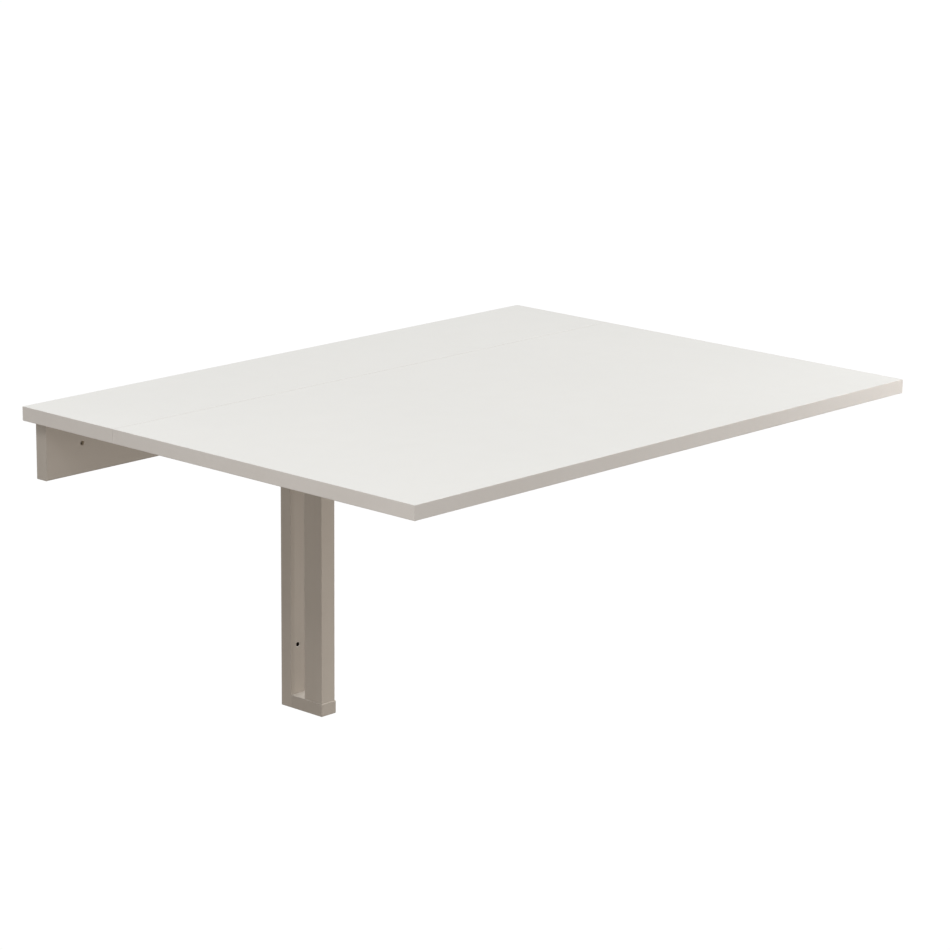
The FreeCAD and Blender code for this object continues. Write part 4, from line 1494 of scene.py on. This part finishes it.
@dataclass
class Support:
    """What carries the leaf: a bracket with its pin, and the pair of struts."""

    ear_outer: float = 12.25
    ear_thick: float = 2.0
    ear_radius: float = 8.0
    ear_flare: float = 3.0
    ear_fillet: float = 2.9
    ear_root: float = 0.4
    ear_arris: float = 0.25
    bracket_half: float = 30.0
    bracket_corner: float = 5.0
    bracket_arris: float = 0.3
    bracket_screw_x: float = 6.5
    bracket_screw_y: float = 22.0
    strut_inner: float = 12.55
    strut_thick: float = 3.0
    strut_half: float = 9.0
    strut_arris: float = 0.35
    clip_gap: float = 0.3
    clip_thick: float = 1.0
    clip_radius: float = 5.5
    clip_prong: Spot = (0.6, 0.9)
    pin_tail: float = 1.2
    pin_chamfer: float = 0.5
    spacer_from_head: float = 70.0
    spacer_radius: float = 4.5
    spacer_rivet: Spot = (2.0, 4.0)
    rivet_overlap: float = 1.0
    foot_rivet: Spot = (3.0, 5.5)
    rib_depth: float = 0.8
    rib_half: float = 3.6
    rib_from: float = 24.0
    rib_end: float = 18.0
    rib_corner: float = 3.5
    rib_round: float = 0.6

    @property
    def outer(self) -> float:
        """How far the struts' outer faces are from the middle."""
        return self.strut_inner + self.strut_thick

    @property
    def rise(self) -> Spot:
        """How far a strut's upper pivot is from its foot, outwards and up."""
        return PLAN.slot_middle - PLAN.strut_pin_y, PLAN.strut_pin_z - PLAN.shoe_z

    def lean(self) -> Matrix:
        """The matrix that takes a strut, drawn upright from its foot, to its place."""
        foot = Matrix.Translation((0, PLAN.slot_middle, PLAN.shoe_z))
        return foot @ Matrix.Rotation(math.atan2(*self.rise), 4, "X")

    def bracket_screws(self) -> list[Matrix]:
        """Where the bracket is screwed to the leaf.

        Returns:
            A matrix for each screw.
        """
        xs = [side * self.bracket_screw_x for side in ENDS]
        ys = [PLAN.strut_pin_y + step * self.bracket_screw_y for step in ENDS]
        return Way.Z.grid(xs, ys, [PLAN.plate_level])

    def bracket(self) -> Solid:
        """The pressed bracket: a base with rounded corners and two ears.

        Returns:
            The bracket.
        """
        y, z, level, half = PLAN.strut_pin_y, PLAN.strut_pin_z, PLAN.plate_level, self.bracket_half
        base = tablet((-self.ear_outer, y - half), (self.ear_outer, y + half), self.bracket_corner)
        shape = Solid.prism(base, level, PLAN.underside).soften(self.bracket_arris, 2)
        edge, flare = self.ear_radius, self.ear_radius + self.ear_flare
        corners = [(flare, PLAN.underside - self.ear_root, 0), (flare, level, 0),
                   (edge, level, self.ear_fillet), (edge, z - edge, edge - SHY)]
        outline = rounded([(y - reach, height, radius) for reach, height, radius in corners]
                          + [(y + reach, height, radius) for reach, height, radius in
                             reversed(corners)], 10)
        shape.fuse(Solid.along(outline, start, start + self.ear_thick).soften(self.ear_arris, 2)
                   for start in (-self.ear_outer, self.ear_outer - self.ear_thick))
        hole = bore(PLAN.pivot_radius + FIT, 2 * self.ear_outer + OVERSHOOT,
                    Way.X.at(-self.ear_outer, y, z))
        return shape.cut([hole, *PLATE_SCREW.holes(self.bracket_screws())])

    def clip(self) -> Solid:
        """A push-on clip: a dished ring whose inner rim is cut into prongs.

        Returns:
            The clip, with its hollow side down.
        """
        inner, outer, thick = PLAN.pivot_radius + FIT, self.clip_radius, self.clip_thick
        width, depth = self.clip_prong

        def pronged(angle: float, _: float, radius: float) -> float:
            """The radius with notches between the prongs."""
            notch = max(0.0, math.cos(6 * angle)) ** 4
            return radius + depth * notch if radius < inner + width else radius

        return Solid.turned([(inner, 0.45), (inner + 0.5, 0.35), (outer - 0.5, 0), (outer, 0.2),
                             (outer, 0.6), (outer - 0.6, 0.75), (inner + 0.5, thick),
                             (inner, thick)], 72, pronged)

    def strut(self, side: int) -> Solid:
        """One flat strut with a pressed groove along its outer face.

        Args:
            side: -1 for the left strut, 1 for the right.

        Returns:
            The strut.
        """
        long, half, end = math.hypot(*self.rise), self.strut_half, self.strut_half - SHY
        start = self.strut_inner if side > 0 else -self.outer
        shape = Solid.along(tablet((-half, -half), (half, long + half), end, 12), start,
                            start + self.strut_thick).soften(self.strut_arris, 2)
        floor, mouth = side * (self.outer - self.rib_depth), side * (self.outer + OVERSHOOT)
        top = long - self.spacer_from_head - self.rib_end
        groove = Solid.along(tablet((-self.rib_half, self.rib_from), (self.rib_half, top),
                                    self.rib_corner), *sorted((floor, mouth)))
        groove.soften(self.rib_round, 3, lambda middle, way: abs(middle.x - floor) < NEAR)
        holes = [bore(radius + FIT, self.strut_thick + 2 * OVERSHOOT,
                      Way.X.at(start - OVERSHOOT, 0, height))
                 for radius, height in ((PLAN.pivot_radius, 0), (PLAN.pivot_radius, long),
                                        (self.spacer_rivet[0], long - self.spacer_from_head))]
        return shape.cut(tool.zoned(Zone.OUTSIDE) for tool in (groove, *holes)).moved(self.lean())

    def build(self) -> None:
        """Builds the bracket, pin, clips, struts, spacer and rivets."""
        y, z = PLAN.strut_pin_y, PLAN.strut_pin_z
        self.bracket().dress("strut_bracket", Body.LEAF, ZINC)
        screws = PLATE_SCREW.row(self.bracket_screws())
        screws.dress("strut_bracket_screws", Body.LEAF, SCREW_STEEL)
        face = self.outer + self.clip_gap
        reach = face + self.clip_thick + self.pin_tail
        head_pin = pin(PLAN.pivot_radius, 2 * reach, self.pin_chamfer)
        head_pin.moved(Way.X.at(-reach, y, z)).dress("strut_head_pin", Body.LEAF, ZINC)
        clips = self.clip().copies([Way.X.at(face, y, z), Way.BACK_X.at(-face, y, z)])
        clips.dress("strut_head_clips", Body.LEAF, ZINC)
        for name, side in SIDES:
            self.strut(side).dress(f"strut_{name}", Body.STRUTS, STRUT_PAINT)
        middle = math.hypot(*self.rise) - self.spacer_from_head
        brace = self.lean() @ Matrix.Translation((0, 0, middle))
        shank, cap = self.spacer_rivet
        tube = ring(self.spacer_radius, shank + FIT, 2 * self.strut_inner)
        tube.moved(brace @ Way.X.at(-self.strut_inner, 0, 0))
        tube.dress("strut_spacer", Body.STRUTS, ZINC)
        back = Matrix.Translation((0, 0, -self.rivet_overlap))
        far_half = rivet(shank, self.outer + self.rivet_overlap, cap)
        far_half.moved(Matrix.Rotation(math.pi, 4, "X") @ back)
        through = rivet(shank, self.outer, cap).fuse([far_half]).moved(brace @ Way.X.at(0, 0, 0))
        through.dress("strut_spacer_rivet", Body.STRUTS, ZINC)
        shank, cap = self.foot_rivet
        stubs = rivet(shank, self.strut_thick, cap).copies(
            self.lean() @ way.at(start, 0, 0)
            for way, start in ((Way.X, self.strut_inner), (Way.BACK_X, -self.strut_inner)))
        stubs.dress("strut_foot_rivets", Body.STRUTS, ZINC)


@dataclass
class Shoe:
    """The shoe that slides in the leg's slot."""

    half_width: float = 10.45
    core_half: float = 9.3
    half_height: float = 14.0
    corner: float = 1.4
    pocket: Point = (6.2, 7.6, 12.2)
    pocket_depth: float = 2.2
    pocket_corner: float = 1.5
    edge_round: float = 0.5
    liner_thick: float = 1.5
    liner_margin: float = 2.0
    rib_pitch: float = 1.6
    rib_shares: tuple[float, ...] = (0.3, 0.45, 0.75, 0.9)
    rib_depth: float = 0.35
    axle_half: float = 12.25
    washer_radius: float = 6.5
    washer_chamfer: float = 0.35
    buffer_thick: float = 2.0
    buffer_margin: float = 3.0

    def block(self) -> Solid:
        """The moulded block with its bore and a pocket above and below it on each side.

        Returns:
            The block.
        """
        y, z, wide, high = PLAN.slot_middle, PLAN.shoe_z, self.half_width, self.half_height
        outline = tablet((-wide, y - self.core_half), (wide, y + self.core_half), self.corner)
        shape = Solid.prism(outline, z - high, z + high).soften(self.edge_round, 2)
        reach, near, far = self.pocket
        tools = [bore(PLAN.pivot_radius + FIT, 2 * wide + OVERSHOOT, Way.X.at(-wide, y, z))]
        for side, rise in itertools.product(ENDS, ENDS):
            ends = sorted((side * (wide - self.pocket_depth), side * (wide + OVERSHOOT)))
            low, top = sorted((rise * near, rise * far))
            mouth = tablet((y - reach, z + low), (y + reach, z + top), self.pocket_corner)
            tools.append(Solid.along(mouth, *ends).soften(self.edge_round, 2))
        return shape.cut(tool.zoned(Zone.OUTSIDE) for tool in tools)

    def liner(self, side: int) -> Solid:
        """One rubber liner, ribbed where it runs on the slot's wall.

        Args:
            side: -1 for the liner on the post, 1 for the one on the wall strip.

        Returns:
            The liner.
        """
        half = self.half_width - self.liner_margin
        inner = PLAN.slot_middle + side * self.core_half
        outer = inner + side * self.liner_thick
        outline = [(-half, inner), (-half, outer)]
        count = int(2 * half / self.rib_pitch)
        pitch = 2 * half / count
        for number in range(count):
            start = -half + number * pitch
            for share, depth in zip(self.rib_shares, (0, self.rib_depth, self.rib_depth, 0)):
                outline.append((start + share * pitch, outer - side * depth))
        tall = self.half_height - self.liner_margin
        return Solid.prism(outline + [(half, outer), (half, inner)], PLAN.shoe_z - tall,
                           PLAN.shoe_z + tall)

    def build(self) -> None:
        """Builds the block, liners, axle, washers and buffer."""
        y, z = PLAN.slot_middle, PLAN.shoe_z
        self.block().dress("shoe_block", Body.SHOE, NYLON)
        self.liner(-1).add(self.liner(1)).dress("shoe_liners", Body.SHOE, RUBBER)
        axle = pin(PLAN.pivot_radius, 2 * self.axle_half).moved(Way.X.at(-self.axle_half, y, z))
        axle.dress("shoe_axle", Body.SHOE, ZINC)
        washer = ring(self.washer_radius, PLAN.pivot_radius + FIT,
                      self.axle_half - self.half_width, self.washer_chamfer)
        washers = washer.copies(Way.X.grid([-self.axle_half, self.half_width], [y], [z]))
        washers.dress("shoe_washers", Body.SHOE, WASHER)
        wide, deep = self.half_width - self.buffer_margin, self.core_half - self.buffer_margin
        low = z - self.half_height - self.buffer_thick
        outline = tablet((-wide, y - deep), (wide, y + deep), self.pocket_corner)
        buffer = Solid.prism(outline, low, low + self.buffer_thick)
        buffer.soften(self.edge_round, 3, lambda middle, way: middle.z < low + NEAR)
        buffer.dress("shoe_buffer", Body.SHOE, RUBBER)


# ---------------------------------------------------------------- studio


@dataclass(frozen=True)
class Softbox:
    """A square light: its place, what it points at, its side and its power."""

    name: str
    place: Point
    aim: Point
    size: float
    power: float

    def build(self) -> None:
        """Hangs it up."""
        light = bpy.data.lights.new(self.name, "AREA")
        light.size, light.energy = self.size, self.power
        hang(light, self.place, Vector(self.aim) - Vector(self.place))


def hang(light: bpy.types.Light, place: Point, toward: Vector) -> None:
    """Hangs a light at a place. Neither the camera nor a reflection shows it.

    Args:
        light: The light.
        place: Where it hangs.
        toward: The direction that it shines in.
    """
    stand = in_scene(light.name, light)
    stand.location, stand.rotation_mode = place, "QUATERNION"
    stand.rotation_quaternion = toward.to_track_quat("-Z", "Y")
    stand.visible_camera = stand.visible_glossy = False


@dataclass
class Studio:
    """The floor, the light and the camera."""

    floor_height: float = -0.7
    floor_radius: float = 60.0
    floor_corners: int = 64
    floor_colour: Colour = (0.226, 0.204, 0.183)
    sky_strength: float = 0.55
    shown_strength: float = 1.02
    sun_from: Point = (0.743, 0.0, 0.669)
    sun_strength: float = 1.8
    sun_spread: float = 0.057
    camera_place: Point = (-2.68804, -2.81363, 0.89401)
    azimuth: float = -0.81891
    elevation: float = 0.24931
    roll: float = 0.00941
    lens: float = 129.75662
    sensor: float = 36.0
    softboxes: tuple[Softbox, ...] = (
        Softbox("softbox_left", (-1.9, -0.5, 1.55), (-0.39, -0.3, 0.04), 0.6, 11.0),
        Softbox("softbox_end", (0.8, -1.0, 0.15), (0.35, -0.59, 0.04), 0.3, 2.4),
        Softbox("softbox_graze", (2.0, -0.5, 0.0), (0.0, -0.05, -0.15), 0.45, 16.5),
        Softbox("softbox_floor", (-1.2, -1.6, -0.55), (0.0, 0.0, 0.0), 0.8, 2.0),
        Softbox("softbox_side", (-2.2, -1.4, -0.1), (-0.2, -0.1, -0.1), 0.8, 10.0),
        Softbox("softbox_low", (-0.6, -2.4, -0.15), (0.0, -0.1, -0.1), 0.8, 2.3),
        Softbox("softbox_right", (1.3, -1.5, 0.35), (0.4, -0.55, 0.0), 0.8, 6.6),
    )

    def build(self) -> None:
        """Builds the whole studio."""
        self.build_floor()
        self.build_sky()
        for softbox in self.softboxes:
            softbox.build()
        sun = bpy.data.lights.new("far_lamp", "SUN")
        sun.energy, sun.angle = self.sun_strength, self.sun_spread
        hang(sun, (0, 0, 0), -Vector(self.sun_from))
        self.build_camera()
        bpy.context.scene.view_settings.view_transform = "Standard"

    def plain_white(self, tree: Tree, lit: bpy.types.Node, kind: str) -> bpy.types.NodeSocket:
        """White to the camera, and what it is given to all other rays.

        Args:
            tree: The tree to work on.
            lit: The shader that lights the table.
            kind: The type of the shader that shows white.

        Returns:
            The mixed shader.
        """
        inputs = {"Color": (1, 1, 1, 1), "Strength": self.shown_strength}
        white = tree.node(kind, inputs).outputs[0]
        seen = tree.node("ShaderNodeLightPath").outputs["Is Camera Ray"]
        return tree.node("ShaderNodeMixShader", {0: seen, 1: lit.outputs[0], 2: white}).outputs[0]

    def build_floor(self) -> None:
        """A wide pale floor, clear from below."""
        shape = bmesh.new()
        turn = 2 * math.pi / self.floor_corners
        shape.faces.new([shape.verts.new((self.floor_radius * math.cos(step * turn),
                                          self.floor_radius * math.sin(step * turn),
                                          self.floor_height))
                         for step in range(self.floor_corners)])
        mesh = bpy.data.meshes.new("studio_floor")
        shape.to_mesh(mesh)
        material = bpy.data.materials.new("floor_pale")
        tree = Tree.of(material)
        lit = tree.node("ShaderNodeBsdfDiffuse", {"Color": (*self.floor_colour, 1)})
        shown = self.plain_white(tree, lit, "ShaderNodeEmission")
        below = tree.node("ShaderNodeNewGeometry").outputs["Backfacing"]
        clear = tree.node("ShaderNodeBsdfTransparent").outputs[0]
        mixed = tree.node("ShaderNodeMixShader", {0: below, 1: shown, 2: clear}).outputs[0]
        tree.node("ShaderNodeOutputMaterial", {"Surface": mixed})
        mesh.materials.append(material)
        in_scene("studio_floor", mesh)

    def build_sky(self) -> None:
        """An even sky that shows white and lights the table softly."""
        world = bpy.data.worlds.new("studio_sky")
        tree = Tree.of(world)
        inputs = {"Color": (1, 1, 1, 1), "Strength": self.sky_strength}
        mixed = self.plain_white(tree, tree.node("ShaderNodeBackground", inputs),
                                 "ShaderNodeBackground")
        tree.node("ShaderNodeOutputWorld", {"Surface": mixed})
        bpy.context.scene.world = world

    def build_camera(self) -> None:
        """The camera, turned by its azimuth, elevation and roll."""
        across, rise = self.azimuth, self.elevation
        back = Vector((math.sin(across) * math.cos(rise), -math.cos(across) * math.cos(rise),
                       math.sin(rise)))
        right = Vector((math.cos(across), math.sin(across), 0))
        up = back.cross(right)
        cos, sin = math.cos(self.roll), math.sin(self.roll)
        axes = Matrix((cos * right + sin * up, cos * up - sin * right, back)).transposed()
        camera = bpy.data.cameras.new("camera")
        camera.lens, camera.sensor_width = self.lens, self.sensor
        stand = in_scene("camera", camera)
        stand.matrix_world = Matrix.Translation(self.camera_place) @ axes.to_4x4()
        bpy.context.scene.camera = stand


def main() -> None:
    """Loads the frame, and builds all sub-assemblies and the studio."""
    logging.basicConfig(level=logging.INFO, format="%(message)s")
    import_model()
    shelf, batten, support = Shelf(), Batten(), Support()
    shelf.build()
    batten.build(shelf)
    Leg().build(batten)
    Leaf().build(support)
    Hinges().build()
    support.build()
    Shoe().build()
    Studio().build()


if __name__ == "__main__":
    main()
